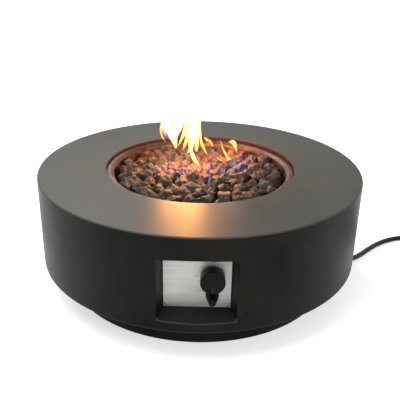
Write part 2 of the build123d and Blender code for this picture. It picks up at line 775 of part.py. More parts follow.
# The tube from the valve's outlet to the jet, with a nut at each end
tube_end_y = valve_rear_y - tube_nut_length / 2
tube_low_z = jet_low_z - gas_tube_dip
tube_fall = valve_z - tube_low_z
tube_nut_radius = gas_tube_radius + tube_nut_wall
gas_tube_points = [
    (control_x, tube_end_y, valve_z),
    (control_x, 0.867 * tube_end_y, valve_z),
    (0.7 * control_x, 0.64 * tube_end_y, tube_low_z + 0.62 * tube_fall),
    (0.15 * control_x, 0.242 * tube_end_y, tube_low_z + 0.15 * tube_fall),
    (0, -gas_tube_dip, tube_low_z),
    (0, 0, tube_low_z + 0.05 * tube_fall),
    (0, 0, jet_low_z),
]
with BuildPart() as gas_tube:
    with BuildLine() as gas_route:
        FilletPolyline(*gas_tube_points, radius=bend_radii(gas_tube_points))
    with BuildSketch(Plane(origin=gas_route.line @ 0, z_dir=gas_route.line % 0)):
        Circle(gas_tube_radius)
        Circle(gas_tube_radius - gas_tube_wall, mode=Mode.SUBTRACT)
    sweep()
gas_tube.part.label = "gas_tube"
export_step(gas_tube.part, "parts/gas_tube.step")

with BuildPart() as outlet_nut:
    with BuildSketch(front_plane(control_x, valve_rear_y + tube_nut_length, valve_z)):
        RegularPolygon(tube_nut_radius, 6)
        Circle(gas_tube_radius + thread_clearance, mode=Mode.SUBTRACT)
    extrude(amount=tube_nut_length)
outlet_nut.part.label = "outlet_nut"
export_step(outlet_nut.part, "parts/outlet_nut.step")

with BuildPart() as jet_nut:
    with BuildSketch(Plane.XY.offset(jet_low_z - tube_nut_length)):
        RegularPolygon(tube_nut_radius, 6)
        Circle(gas_tube_radius + thread_clearance, mode=Mode.SUBTRACT)
    extrude(amount=tube_nut_length)
jet_nut.part.label = "jet_nut"
export_step(jet_nut.part, "parts/jet_nut.step")

# The pilot bracket on the pan's floor, with a round-topped, slotted guard over the two probes
bracket_top_z = pan_floor_top_z + pilot_height
guard_back_y = pilot_y - pilot_foot / 2
with BuildPart() as pilot_bracket:
    with BuildSketch(Plane.XY.offset(pan_floor_top_z)):
        with Locations((pilot_x, pilot_y)):
            Rectangle(pilot_foot, pilot_foot)
        with Locations((electrode_x, pilot_y)):
            Circle(probe_hole_radius, mode=Mode.SUBTRACT)
        with Locations((thermocouple_x, pilot_y)):
            Circle(lead_hole_radius, mode=Mode.SUBTRACT)
    extrude(amount=pilot_sheet)
    shelf_z = pan_floor_top_z + pilot_height * 2 / 3
    with BuildSketch(Plane.XY.offset(shelf_z)):
        with Locations((pilot_x, pilot_y)):
            Rectangle(pilot_foot, pilot_foot)
        with Locations((electrode_x, pilot_y)):
            Circle(probe_hole_radius, mode=Mode.SUBTRACT)
        with Locations((thermocouple_x, pilot_y)):
            Circle(lead_hole_radius, mode=Mode.SUBTRACT)
    extrude(amount=pilot_sheet)
    with BuildSketch(Plane.XY.offset(pan_floor_top_z)):
        with Locations((pilot_x, guard_back_y + pilot_sheet / 2)):
            Rectangle(pilot_foot, pilot_sheet)
    extrude(amount=shelf_z + pilot_sheet - pan_floor_top_z)
pilot_bracket.part.label = "pilot_bracket"
export_step(pilot_bracket.part, "parts/pilot_bracket.step")

guard_low_z = shelf_z + pilot_sheet
guard_height = bracket_top_z - guard_low_z
guard_slot_length = pilot_foot - 2 * guard_slot_margin
guard_slots_z = guard_low_z + (guard_height - guard_round) / 2
with BuildPart() as pilot_guard:
    with BuildSketch(Plane.XY.offset(guard_low_z)):
        with Locations((pilot_x, pilot_y)):
            Rectangle(pilot_foot, pilot_foot)
    extrude(amount=guard_height)
    fillet(pilot_guard.faces().sort_by(Axis.Z)[-1].edges().filter_by(Axis.X), guard_round)
    offset(amount=-pilot_sheet, openings=pilot_guard.faces().sort_by(Axis.Z)[0])
    for slot_plane in (
        front_plane(pilot_x, pilot_y + pilot_foot, guard_slots_z),
        right_plane(pilot_x - pilot_foot, pilot_y, guard_slots_z),
    ):
        with BuildSketch(slot_plane):
            with GridLocations(0, guard_slot_pitch, 1, guard_slot_rows):
                SlotOverall(guard_slot_length, guard_slot_height)
        extrude(amount=2 * pilot_foot, mode=Mode.SUBTRACT)
pilot_guard.part.label = "pilot_guard"
export_step(pilot_guard.part, "parts/pilot_guard.step")

probe_low_z = pan_floor_under_z - probe_drop
ceramic_length = guard_low_z + ceramic_proud - probe_low_z
thermocouple_length = guard_low_z + thermocouple_proud - probe_low_z
with BuildPart() as electrode_ceramic:
    with BuildSketch(Plane.XY.offset(probe_low_z)):
        with Locations((electrode_x, pilot_y)):
            Circle(ceramic_radius)
            Circle(electrode_rod_radius + thread_clearance, mode=Mode.SUBTRACT)
    extrude(amount=ceramic_length)
electrode_ceramic.part.label = "electrode_ceramic"
export_step(electrode_ceramic.part, "parts/electrode_ceramic.step")

with BuildPart() as spark_electrode:
    with BuildSketch(Plane.XY.offset(probe_low_z)):
        with Locations((electrode_x, pilot_y)):
            Circle(electrode_rod_radius)
    extrude(amount=ceramic_length + electrode_reach)
spark_electrode.part.label = "spark_electrode"
export_step(spark_electrode.part, "parts/spark_electrode.step")

with BuildPart() as thermocouple:
    with BuildSketch(Plane.XY.offset(probe_low_z)):
        with Locations((thermocouple_x, pilot_y)):
            Circle(thermocouple_radius)
    extrude(amount=thermocouple_length)
    tip_edges = thermocouple.faces().sort_by(Axis.Z)[-1].edges()
    fillet(tip_edges, thermocouple_radius / 2)
thermocouple.part.label = "thermocouple"
export_step(thermocouple.part, "parts/thermocouple.step")

# The ignition wire and the thermocouple's lead, held under the pan
wire_start_y = igniter_rear_y + igniter_terminal_length
wire_span = pilot_y - wire_start_y
wire_rise = probe_low_z - igniter_z
ignition_wire_points = [
    (control_x, wire_start_y, igniter_z),
    (control_x, wire_start_y + 0.21 * wire_span, igniter_z),
    ((control_x + electrode_x) / 2, wire_start_y + 0.5 * wire_span, igniter_z - 0.1 * wire_rise),
    (electrode_x + ignition_wire_radius, wire_start_y + 0.82 * wire_span, igniter_z + 0.1 * wire_rise),
    (electrode_x, pilot_y, igniter_z + 0.5 * wire_rise),
    (electrode_x, pilot_y, probe_low_z),
]
with BuildPart() as ignition_wire:
    with BuildLine() as wire_route:
        FilletPolyline(*ignition_wire_points, radius=bend_radii(ignition_wire_points))
    with BuildSketch(Plane(origin=wire_route.line @ 0, z_dir=wire_route.line % 0)):
        Circle(ignition_wire_radius)
    sweep()
ignition_wire.part.label = "ignition_wire"
export_step(ignition_wire.part, "parts/ignition_wire.step")

lead_x = control_x + valve_width / 2 - valve_screw_inset
lead_z = valve_z + valve_height / 2 - valve_screw_inset - thermocouple_lead_radius
lead_span = pilot_y - valve_rear_y
lead_sag = 0.26 * lead_span
thermocouple_lead_points = [
    (lead_x, valve_rear_y, lead_z),
    (lead_x, valve_rear_y + 0.207 * lead_span, lead_z),
    ((lead_x + thermocouple_x) / 2, valve_rear_y + 0.525 * lead_span, lead_z - 0.65 * lead_sag),
    (thermocouple_x, valve_rear_y + 0.81 * lead_span, probe_low_z - lead_sag),
    (thermocouple_x + thermocouple_lead_radius, pilot_y, probe_low_z - 0.66 * lead_sag),
    (thermocouple_x, pilot_y, probe_low_z),
]
with BuildPart() as thermocouple_lead:
    with BuildLine() as lead_route:
        FilletPolyline(*thermocouple_lead_points, radius=bend_radii(thermocouple_lead_points))
    with BuildSketch(Plane(origin=lead_route.line @ 0, z_dir=lead_route.line % 0)):
        Circle(thermocouple_lead_radius)
    sweep()
thermocouple_lead.part.label = "thermocouple_lead"
export_step(thermocouple_lead.part, "parts/thermocouple_lead.step")


def cut_outline(outline, edge_x, edge_y, out_x, out_y):
    """Keep the part of a convex outline that lies inwards of a line through one point."""
    kept = []
    for (ax, ay), (bx, by) in zip(outline, outline[1:] + outline[:1]):
        a = (ax - edge_x) * out_x + (ay - edge_y) * out_y
        b = (bx - edge_x) * out_x + (by - edge_y) * out_y
        if a <= 0:
            kept.append((ax, ay))
        if a * b < 0:
            share = a / (a - b)
            kept.append((ax + share * (bx - ax), ay + share * (by - ay)))
    return kept


def without_short_edges(outline):
    """Drop each corner that lies too near the one before it."""
    kept = []
    for point in outline:
        if not kept or hypot(point[0] - kept[-1][0], point[1] - kept[-1][1]) > rock_least_edge:
            kept.append(point)
    if hypot(kept[0][0] - kept[-1][0], kept[0][1] - kept[-1][1]) <= rock_least_edge:
        kept.pop()
    return kept


def outline_area(outline):
    doubled = [ax * by - bx * ay for (ax, ay), (bx, by) in zip(outline, outline[1:] + outline[:1])]
    return abs(sum(doubled)) / 2


def rock_sites(reach, chance):
    """Scattered rock middles on staggered rows, out to a reach from the axis."""
    rows = ceil(reach / rock_spacing) + 1
    sites = []
    for row in range(-rows, rows + 1):
        for column in range(-rows, rows + 1):
            x = (column + (row % 2) / 2) * rock_spacing + chance.uniform(-rock_scatter, rock_scatter)
            y = row * rock_spacing * sqrt(3) / 2 + chance.uniform(-rock_scatter, rock_scatter)
            if hypot(x, y) < reach:
                sites.append((x, y))
    return sites


def rock_outline(site, sites):
    """The ground that one rock takes between its neighbours."""
    x, y = site
    side = rock_spacing
    outline = [(x - side, y - side), (x + side, y - side), (x + side, y + side), (x - side, y + side)]
    for other_x, other_y in sites:
        away = hypot(other_x - x, other_y - y)
        if 0 < away < 3 * rock_spacing:
            out_x, out_y = (other_x - x) / away, (other_y - y) / away
            half = away / 2 - rock_gap
            outline = cut_outline(outline, x + out_x * half, y + out_y * half, out_x, out_y)
    return outline


def keep_from(outline, site, x, y, radius):
    """Cut an outline back from an upright round space beside it."""
    away = hypot(site[0] - x, site[1] - y)
    out_x, out_y = (site[0] - x) / away, (site[1] - y) / away
    return cut_outline(outline, x + out_x * radius, y + out_y * radius, -out_x, -out_y)


def keep_within(outline, site, radius):
    """Cut an outline back to a flat inside the round wall that it lies against."""
    away = max(hypot(*site), 1.0)
    out_x, out_y = site[0] / away, site[1] / away
    return cut_outline(outline, out_x * radius, out_y * radius, out_x, out_y)


def rock(outline, low, high, chance):
    """One faceted lump: a chamfered prism whose top leans to one side."""
    middle_x = sum(x for x, _ in outline) / len(outline)
    middle_y = sum(y for _, y in outline) / len(outline)
    levels = (low, low + (high - low) * chance.uniform(0.22, 0.34), low + (high - low) * 0.62, high)
    shares = (chance.uniform(0.6, 0.76), 1.0, chance.uniform(0.9, 0.98), chance.uniform(0.42, 0.6))
    with BuildPart() as lump:
        for level, share in zip(levels, shares):
            corners = [
                (middle_x + share * (x - middle_x), middle_y + share * (y - middle_y))
                for x, y in outline
            ]
            with BuildSketch(Plane.XY.offset(level)):
                with BuildLine():
                    Polyline(*corners, close=True)
                make_face()
        loft(ruled=True)
    return lump.part.solid()


# Upper rocks: over the burner, out to the pan's wall, round the pilot guard
rock_chance = Random(rock_seed)
upper_low_z = burner_z + burner_tube_radius + rock_layer_gap
upper_reach = pan_floor_radius + wall_slope * (upper_low_z - pan_floor_top_z) - rock_gap
upper_sites = rock_sites(upper_reach + rock_spacing / 4, rock_chance)
upper_sites = [s for s in upper_sites if hypot(s[0] - pilot_x, s[1] - pilot_y) > pilot_clear_radius]
upper_rocks = []
for site in upper_sites:
    ground = rock_outline(site, upper_sites)
    ground = keep_from(ground, site, pilot_x, pilot_y, pilot_clear_radius)
    ground = keep_within(ground, site, upper_reach - rock_spacing / 12)
    ground = without_short_edges(ground)
    if len(ground) > 2 and outline_area(ground) > rock_least_area:
        top = table_height - rock_chance.uniform(rock_high_drop, rock_low_drop)
        upper_rocks.append(rock(ground, upper_low_z, top, rock_chance))
with BuildPart() as lava_rocks_upper:
    add(upper_rocks)
lava_rocks_upper.part.label = "lava_rocks_upper"
export_step(lava_rocks_upper.part, "parts/lava_rocks_upper.step")

# Lower rocks: on the pan's floor, inside and outside the burner ring
lower_high_z = upper_low_z - rock_layer_gap
lower_reach = pan_floor_radius - rock_gap
ring_inner = burner_ring_radius - burner_tube_radius - rock_gap
ring_outer = burner_ring_radius + burner_tube_radius + rock_gap
lower_sites = rock_sites(lower_reach, rock_chance)
lower_sites = [s for s in lower_sites if hypot(*s) > burner_hub_radius + rock_spacing / 4]
lower_sites = [s for s in lower_sites if hypot(s[0] - pilot_x, s[1] - pilot_y) > pilot_clear_radius]
lower_rocks = []
for site in lower_sites:
    ground = rock_outline(site, lower_sites)
    ground = keep_from(ground, site, pilot_x, pilot_y, pilot_clear_radius)
    ground = keep_from(ground, site, 0, 0, burner_hub_radius + rock_gap)
    if hypot(*site) < burner_ring_radius:
        ground = keep_within(ground, site, ring_inner * cos(pi / 12))
        side = 1 if site[0] > 0 else -1
        ground = cut_outline(ground, side * (burner_cross_radius + rock_gap), 0, -side, 0)
    else:
        ground = keep_from(ground, site, 0, 0, ring_outer)
        ground = keep_within(ground, site, lower_reach - rock_spacing / 8)
    if len(ground) > 2:
        ground = without_short_edges(ground)
    if len(ground) > 2 and outline_area(ground) > rock_least_area:
        lower_rocks.append(rock(ground, pan_floor_top_z + rock_gap, lower_high_z, rock_chance))
with BuildPart() as lava_rocks_lower:
    add(lower_rocks)
lava_rocks_lower.part.label = "lava_rocks_lower"
export_step(lava_rocks_lower.part, "parts/lava_rocks_lower.step")
print("rocks", len(upper_rocks), len(lower_rocks))

# The hose's fitting on the valve, and the hose inside the table, held from valve to grommet
inlet_x = control_x + valve_width / 2
hose_start_x = inlet_x + inlet_fitting_length
with BuildPart() as inlet_fitting:
    with BuildSketch(right_plane(inlet_x, inlet_y, valve_z)):
        RegularPolygon(inlet_fitting_radius, 6)
        Circle(gas_tube_radius, mode=Mode.SUBTRACT)
    extrude(amount=inlet_fitting_length)
inlet_fitting.part.label = "inlet_fitting"
export_step(inlet_fitting.part, "parts/inlet_fitting.step")

grommet_face = plinth_radius + grommet_flange_thickness
hose_exit = exit_direction * grommet_face + Vector(0, 0, hose_exit_z)
inner_hose_points = [
    (hose_start_x, inlet_y, valve_z),
    (hose_start_x + 40, inlet_y, valve_z),
    (148, -232, 134),
    (176, -188, 104),
    (184, -138, 72),
    (181, -84, 45),
    (187, -38, 31),
    (206, -7, 25),
    exit_direction * (plinth_inner_radius - inner_hose_lead) + Vector(0, 0, hose_exit_z),
    hose_exit,
]
with BuildPart() as inner_hose:
    with BuildLine() as inner_route:
        FilletPolyline(*inner_hose_points, radius=bend_radii(inner_hose_points))
    with BuildSketch(Plane(origin=inner_route.line @ 0, z_dir=inner_route.line % 0)):
        Circle(hose_radius)
    sweep()
inner_hose.part.label = "inner_hose"
export_step(inner_hose.part, "parts/inner_hose.step")

grommet_bore = hose_radius + grommet_clearance
with BuildPart() as hose_grommet:
    grommet_start = exit_direction * (plinth_inner_radius - grommet_flange_thickness)
    grommet_start += Vector(0, 0, hose_exit_z)
    grommet_length = plinth_wall + 2 * grommet_flange_thickness
    with BuildSketch(Plane(origin=grommet_start, z_dir=exit_direction)):
        Circle(grommet_bore + grommet_wall - grommet_clearance)
    extrude(amount=grommet_length)
    with BuildSketch(Plane(origin=hose_exit, z_dir=exit_direction)):
        Circle(grommet_bore + grommet_flange)
    extrude(amount=-grommet_flange_thickness)
    with BuildSketch(Plane(origin=grommet_start, z_dir=exit_direction)):
        Circle(grommet_bore)
    extrude(amount=grommet_length, mode=Mode.SUBTRACT)
hose_grommet.part.label = "hose_grommet"
export_step(hose_grommet.part, "parts/hose_grommet.step")

# The hose on the floor, from the grommet past the photographed curve to the coil
coil_pitch = 2 * hose_radius + coil_turn_gap
coil_low_z = hose_radius + tie_clearance + tie_thickness + tie_floor_gap
coil_entry = Vector(coil_center_x, coil_center_y + coil_outer_radius, coil_low_z)
hose_run_points = [
    hose_exit,
    hose_exit + exit_direction * 22,
    (334, 17.1, 17),
    (357, 30.5, 9.5),
    (383, 54, 6.2),
    (413.5, 87.7, 6.2),
    (443.5, 117.3, 6.2),
    (479.5, 142, 6.2),
    (512.5, 154, 6.2),
    (544, 159.8, 7.0),
    (556, coil_entry.Y, coil_low_z),
    coil_entry - Vector(coil_lead_in, 0, 0),
]
with BuildPart() as gas_hose_run:
    with BuildLine() as hose_route:
        FilletPolyline(*hose_run_points, radius=bend_radii(hose_run_points))
    with BuildSketch(Plane(origin=hose_route.line @ 0, z_dir=hose_route.line % 0)):
        Circle(hose_radius)
    sweep()
gas_hose_run.part.label = "gas_hose_run"
export_step(gas_hose_run.part, "parts/gas_hose_run.step")

# The coil: half turns that close in on the floor, climb one layer and open out again
half_turns = 6
climb_at = 3
coil_side = 1
coil_y = coil_entry.Y
coil_z = coil_low_z
turn_radius = coil_outer_radius
with BuildPart() as gas_hose_coil:
    with BuildLine() as coil_route:
        Line(coil_entry - Vector(coil_lead_in, 0, 0), coil_entry)
        for turn in range(half_turns):
            middle_y = coil_y - coil_side * turn_radius
            far_y = middle_y - coil_side * turn_radius
            start = Vector(coil_center_x, coil_y, coil_z)
            if turn == climb_at:
                high_z = coil_z + coil_pitch
                bulge = hypot(turn_radius, coil_pitch / 2)
                halfway = Vector(coil_center_x + coil_side * bulge, middle_y, (coil_z + high_z) / 2)
                first_arc = TangentArc(start, halfway, tangent=(coil_side, 0, 0))
                TangentArc(halfway, (coil_center_x, far_y, high_z), tangent=first_arc % 1)
                coil_z = high_z
            else:
                halfway = Vector(coil_center_x + coil_side * turn_radius, middle_y, coil_z)
                ThreePointArc(start, halfway, (coil_center_x, far_y, coil_z))
            turn_radius += coil_pitch / 2 if turn >= climb_at else -coil_pitch / 2
            coil_y = far_y
            coil_side = -coil_side
        coil_exit = Vector(coil_center_x, coil_y, coil_z)
        Line(coil_exit, coil_exit + Vector(coil_lead_out, 0, 0))
    with BuildSketch(Plane(origin=coil_route.line @ 0, z_dir=coil_route.line % 0)):
        Circle(hose_radius)
    sweep()
gas_hose_coil.part.label = "gas_hose_coil"
export_step(gas_hose_coil.part, "parts/gas_hose_coil.step")
hose_end = coil_exit + Vector(coil_lead_out, 0, 0)


def least_self_gap(line, radius, step):
    """The smallest space between stretches of a tube that lie over three diameters apart along it."""
    count = ceil(line.length / step)
    points = [line @ (i / count) for i in range(count + 1)]
    skip = ceil(6 * radius / step)
    gaps = [
        (points[j] - points[i]).length - 2 * radius
        for i in range(len(points))
        for j in range(i + skip, len(points))
    ]
    return min(gaps)


print("hose run bend radii", [round(r) for r in bend_radii(hose_run_points)])
print("inner hose bend radii", [round(r) for r in bend_radii(inner_hose_points)])
run_line = hose_route.wire()
coil_line = coil_route.wire()
hose_section = pi * hose_radius**2
print("hose run length", round(run_line.length, 1), "coil length", round(coil_line.length, 1))
print("least gap of the coil to itself", round(least_self_gap(coil_line, hose_radius, 4.0), 2))
print("run volume over section times length", gas_hose_run.part.volume / hose_section / run_line.length)
print("coil volume over section times length", gas_hose_coil.part.volume / hose_section / coil_line.length)

# The tie round the turns of the coil, on the side away from the hose's ends
tie_outer_y = coil_center_y - coil_outer_radius - hose_radius - tie_clearance
tie_inner_y = coil_center_y - coil_outer_radius + coil_pitch + hose_radius + tie_clearance
tie_low_z = coil_low_z - hose_radius - tie_clearance
tie_high_z = coil_low_z + coil_pitch + hose_radius + tie_clearance
tie_y = (tie_outer_y + tie_inner_y) / 2
tie_z = (tie_low_z + tie_high_z) / 2
tie_span_y = tie_inner_y - tie_outer_y
tie_span_z = tie_high_z - tie_low_z
with BuildPart() as hose_tie:
    with BuildSketch(right_plane(coil_center_x - tie_width / 2, tie_y, tie_z)):
        RectangleRounded(tie_span_y + 2 * tie_thickness, tie_span_z + 2 * tie_thickness, 2 * tie_thickness)
        RectangleRounded(tie_span_y, tie_span_z, tie_thickness, mode=Mode.SUBTRACT)
    extrude(amount=tie_width)
hose_tie.part.label = "hose_tie"
export_step(hose_tie.part, "parts/hose_tie.step")

# The regulator: crimped ferrule, lower and upper casting, screws, vent, nipple and hand nut
regulator_y = hose_end.Y
regulator_z = hose_end.Z
ferrule_start_x = hose_end.X - ferrule_lap
ferrule_end_x = ferrule_start_x + ferrule_length
ferrule_radius = hose_radius + ferrule_clearance + ferrule_wall
port_start_x = ferrule_end_x
regulator_x = port_start_x + regulator_port_length + sqrt(regulator_radius**2 - regulator_port_radius**2)
port_end_x = 2 * regulator_x - port_start_x
regulator_screw_start = 180 / regulator_screw_count
with BuildPart() as hose_ferrule:
    with BuildSketch(right_plane(ferrule_start_x, regulator_y, regulator_z)):
        Circle(ferrule_radius)
    extrude(amount=ferrule_length)
    with BuildSketch(right_plane(ferrule_start_x, regulator_y, regulator_z)):
        Circle(hose_radius + ferrule_clearance)
    extrude(amount=ferrule_lap, mode=Mode.SUBTRACT)
    with BuildSketch(right_plane(ferrule_start_x, regulator_y, regulator_z)):
        Circle(gas_bore_radius)
    extrude(amount=ferrule_length, mode=Mode.SUBTRACT)
hose_ferrule.part.label = "hose_ferrule"
export_step(hose_ferrule.part, "parts/hose_ferrule.step")

with BuildPart() as regulator_body:
    with BuildSketch(Plane.XY.offset(regulator_floor_gap)):
        with Locations((regulator_x, regulator_y)):
            Circle(regulator_radius)
    extrude(amount=regulator_base_top - regulator_floor_gap)
    low_rim = regulator_body.faces().sort_by(Axis.Z)[0].edges()
    fillet(low_rim, regulator_edge_round)
    with BuildSketch(right_plane(port_start_x, regulator_y, regulator_z)):
        Circle(regulator_port_radius)
    extrude(amount=port_end_x - port_start_x)
    with BuildSketch(Plane.XY.offset(regulator_base_top)):
        with Locations((regulator_x, regulator_y)):
            Circle(regulator_radius + regulator_seat_gap)
    extrude(amount=regulator_radius, mode=Mode.SUBTRACT)
    with BuildSketch(right_plane(port_start_x, regulator_y, regulator_z)):
        Circle(gas_bore_radius)
    extrude(amount=port_end_x - port_start_x, mode=Mode.SUBTRACT)
    with BuildSketch(Plane.XY.offset(regulator_base_top)):
        with Locations((regulator_x, regulator_y)):
            with PolarLocations(regulator_screw_circle, regulator_screw_count, regulator_screw_start):
                Circle(regulator_screw_radius + thread_clearance)
    extrude(amount=-regulator_screw_grip - thread_runout, mode=Mode.SUBTRACT)
regulator_body.part.label = "regulator_body"
export_step(regulator_body.part, "parts/regulator_body.step")

with BuildPart() as regulator_cover:
    with BuildSketch(Plane.XY.offset(regulator_base_top)):
        with Locations((regulator_x, regulator_y)):
            Circle(regulator_radius)
    extrude(amount=regulator_flange_height)
    with BuildSketch(Plane.XY.offset(regulator_base_top + regulator_flange_height)):
        with Locations((regulator_x, regulator_y)):
            Circle(regulator_dome_radius)
    extrude(amount=regulator_top - regulator_base_top - regulator_flange_height)
    dome_rim = regulator_cover.faces().sort_by(Axis.Z)[-1].edges()
    fillet(dome_rim, regulator_edge_round)
    with BuildSketch(Plane.XY.offset(regulator_base_top)):
        with Locations((regulator_x, regulator_y)):
            with PolarLocations(regulator_screw_circle, regulator_screw_count, regulator_screw_start):
                Circle(regulator_screw_radius + bolt_clearance)
    extrude(amount=regulator_flange_height, mode=Mode.SUBTRACT)
regulator_cover.part.label = "regulator_cover"
export_step(regulator_cover.part, "parts/regulator_cover.step")

with BuildPart() as regulator_screws:
    flange_top_z = regulator_base_top + regulator_flange_height
    with BuildSketch(Plane.XY.offset(flange_top_z)):
        with Locations((regulator_x, regulator_y)):
            with PolarLocations(regulator_screw_circle, regulator_screw_count, regulator_screw_start):
                Circle(regulator_screw_radius)
    extrude(amount=-regulator_flange_height - regulator_screw_grip)
    with BuildSketch(Plane.XY.offset(flange_top_z)):
        with Locations((regulator_x, regulator_y)):
            with PolarLocations(regulator_screw_circle, regulator_screw_count, regulator_screw_start):
                Circle(regulator_screw_head_radius)
    extrude(amount=regulator_screw_head_height)
regulator_screws.part.label = "regulator_screws"
export_step(regulator_screws.part, "parts/regulator_screws.step")

with BuildPart() as regulator_vent:
    with BuildSketch(Plane.XY.offset(regulator_top)):
        with Locations((regulator_x, regulator_y)):
            Circle(regulator_vent_radius)
    extrude(amount=regulator_vent_height)
    vent_rim = regulator_vent.faces().sort_by(Axis.Z)[-1].edges()
    fillet(vent_rim, regulator_vent_height / 3)
regulator_vent.part.label = "regulator_vent"
export_step(regulator_vent.part, "parts/regulator_vent.step")

# The nipple that enters the cylinder's valve, and the hand nut that turns round it
nipple_collar_x = port_end_x + nipple_neck_length
nipple_nose_x = nipple_collar_x + nipple_collar_length
nipple_end_x = nipple_nose_x + nipple_nose_length
with BuildPart() as inlet_nipple:
    with BuildSketch(right_plane(port_end_x, regulator_y, regulator_z)):
        Circle(nipple_radius)
    extrude(amount=nipple_neck_length)
    with BuildSketch(right_plane(nipple_collar_x, regulator_y, regulator_z)):
        Circle(nipple_collar_radius)
    extrude(amount=nipple_collar_length)
    with BuildSketch(right_plane(nipple_nose_x, regulator_y, regulator_z)):
        Circle(nipple_nose_radius)
    extrude(amount=nipple_nose_length)
    nose_rim = inlet_nipple.faces().sort_by(Axis.X)[-1].edges()
    chamfer(nose_rim, nipple_chamfer)
    with BuildSketch(right_plane(port_end_x, regulator_y, regulator_z)):
        Circle(gas_bore_radius)
    extrude(amount=nipple_end_x - port_end_x, mode=Mode.SUBTRACT)
inlet_nipple.part.label = "inlet_nipple"
export_step(inlet_nipple.part, "parts/inlet_nipple.step")

nut_start_x = nipple_collar_x - nut_rear_wall - nut_clearance
nut_bore_radius = nipple_collar_radius + nut_bore_gap
nut_radius = nut_bore_radius + nut_wall
with BuildPart() as hand_nut:
    with BuildSketch(right_plane(nut_start_x, regulator_y, regulator_z)):
        Circle(nut_radius)
        with PolarLocations(nut_radius, nut_rib_count):
            Circle(nut_groove_radius, mode=Mode.SUBTRACT)
    extrude(amount=nut_length)
    with BuildSketch(right_plane(nut_start_x, regulator_y, regulator_z)):
        Circle(nipple_radius + nut_clearance)
    extrude(amount=nut_rear_wall, mode=Mode.SUBTRACT)
    with BuildSketch(right_plane(nut_start_x + nut_rear_wall, regulator_y, regulator_z)):
        Circle(nut_bore_radius)
    extrude(amount=nut_length - nut_rear_wall, mode=Mode.SUBTRACT)
hand_nut.part.label = "hand_nut"
export_step(hand_nut.part, "parts/hand_nut.step")
print("nut axis", round(regulator_y, 2), round(regulator_z, 2), "nose", nipple_nose_x, nipple_end_x)
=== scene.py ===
import math
import random

import bmesh
import bpy
from mathutils import Matrix, Vector


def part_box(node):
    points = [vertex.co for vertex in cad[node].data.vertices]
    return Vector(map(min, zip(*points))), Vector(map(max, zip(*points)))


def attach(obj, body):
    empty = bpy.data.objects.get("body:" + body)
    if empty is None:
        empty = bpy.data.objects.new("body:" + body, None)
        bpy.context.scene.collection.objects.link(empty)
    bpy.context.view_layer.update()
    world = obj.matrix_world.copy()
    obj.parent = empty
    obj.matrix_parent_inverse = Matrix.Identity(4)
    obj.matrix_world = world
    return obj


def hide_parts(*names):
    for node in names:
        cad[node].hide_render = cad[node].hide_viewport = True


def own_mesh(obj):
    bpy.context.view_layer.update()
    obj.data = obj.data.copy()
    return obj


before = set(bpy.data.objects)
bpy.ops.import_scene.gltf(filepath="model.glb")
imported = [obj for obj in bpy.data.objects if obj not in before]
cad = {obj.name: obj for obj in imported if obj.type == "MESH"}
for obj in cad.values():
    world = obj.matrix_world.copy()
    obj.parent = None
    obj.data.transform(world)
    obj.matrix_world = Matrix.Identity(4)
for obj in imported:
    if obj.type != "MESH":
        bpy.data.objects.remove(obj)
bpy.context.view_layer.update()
bpy.ops.object.select_all(action="DESELECT")


# The view: a little above the rim and square to the control panel, with the long lens that makes the
# ellipses of the top ring and of its opening, found from those ellipses and the drum's two ends.
camera_pitch = 0.4148
camera_yaw = 0.00454
camera_roll = 0.0187
bpy.ops.object.camera_add(location=(0.0062, -1.1867, 0.6904))
camera = bpy.context.object
camera.name = "product_camera"
turn = Matrix.Rotation(camera_yaw, 3, "Z") @ Matrix.Rotation(math.pi / 2 - camera_pitch, 3, "X")
camera.rotation_euler = (turn @ Matrix.Rotation(camera_roll, 3, "Z")).to_euler()
camera.data.sensor_width = 36
camera.data.lens = 52.94
camera.data.clip_start = 0.01
bpy.context.scene.camera = camera


# The gas hose: smooth black rubber, 12 mm thick. It leaves a grommet in the plinth, drops to the
# ground, runs off to the right, and lies there in a tied coil of two layers.
def new_material(name, color, roughness, metallic=0.0, specular=0.5):
    """A material with one shader of these plain values, to which each finish adds its own nodes."""
    material = bpy.data.materials.new(name)
    material.use_nodes = True
    shader = material.node_tree.nodes["Principled BSDF"]
    shader.inputs["Base Color"].default_value = (*color, 1)
    shader.inputs["Roughness"].default_value = roughness
    shader.inputs["Metallic"].default_value = metallic
    shader.inputs["Specular IOR Level"].default_value = specular
    return material


def add_node(tree, kind, inputs):
    """Places a shader node, with its inputs set to plain values or fed from sockets."""
    node = tree.nodes.new(f"ShaderNode{kind}")
    for label, value in inputs.items():
        if isinstance(value, bpy.types.NodeSocket):
            tree.links.new(value, node.inputs[label])
        else:
            node.inputs[label].default_value = value
    return node


def reckon(tree, operation, *parts, kind="Math", out="Value"):
    """One step of arithmetic on plain values and sockets."""
    node = add_node(tree, kind, dict(enumerate(parts)))
    node.operation = operation
    return node.outputs[out]


def spread(tree, mask, low, high, to_low=0.0, to_high=1.0):
    """Stretches part of a mask's range over another range."""
    limits = {"From Min": low, "From Max": high, "To Min": to_low, "To Max": to_high}
    return add_node(tree, "MapRange", {"Value": mask, **limits}).outputs["Result"]


def mix_colors(tree, mask, low, high):
    """Goes from one colour to another by a mask. Either colour may be a value or a socket."""
    mix = tree.nodes.new("ShaderNodeMix")
    mix.data_type = "RGBA"
    tree.links.new(mask, mix.inputs["Factor"])
    for color, socket in ((low, mix.inputs["A"]), (high, mix.inputs["B"])):
        if isinstance(color, bpy.types.NodeSocket):
            tree.links.new(color, socket)
        else:
            socket.default_value = (*color, 1)
    return mix.outputs["Result"]


def object_place(tree):
    return tree.nodes.new("ShaderNodeTexCoord").outputs["Object"]


def axes_of(tree, vector):
    return add_node(tree, "SeparateXYZ", {"Vector": vector}).outputs


def facing_up(tree):
    """How far the surface faces up, from its normal."""
    return axes_of(tree, tree.nodes.new("ShaderNodeNewGeometry").outputs["Normal"])["Z"]


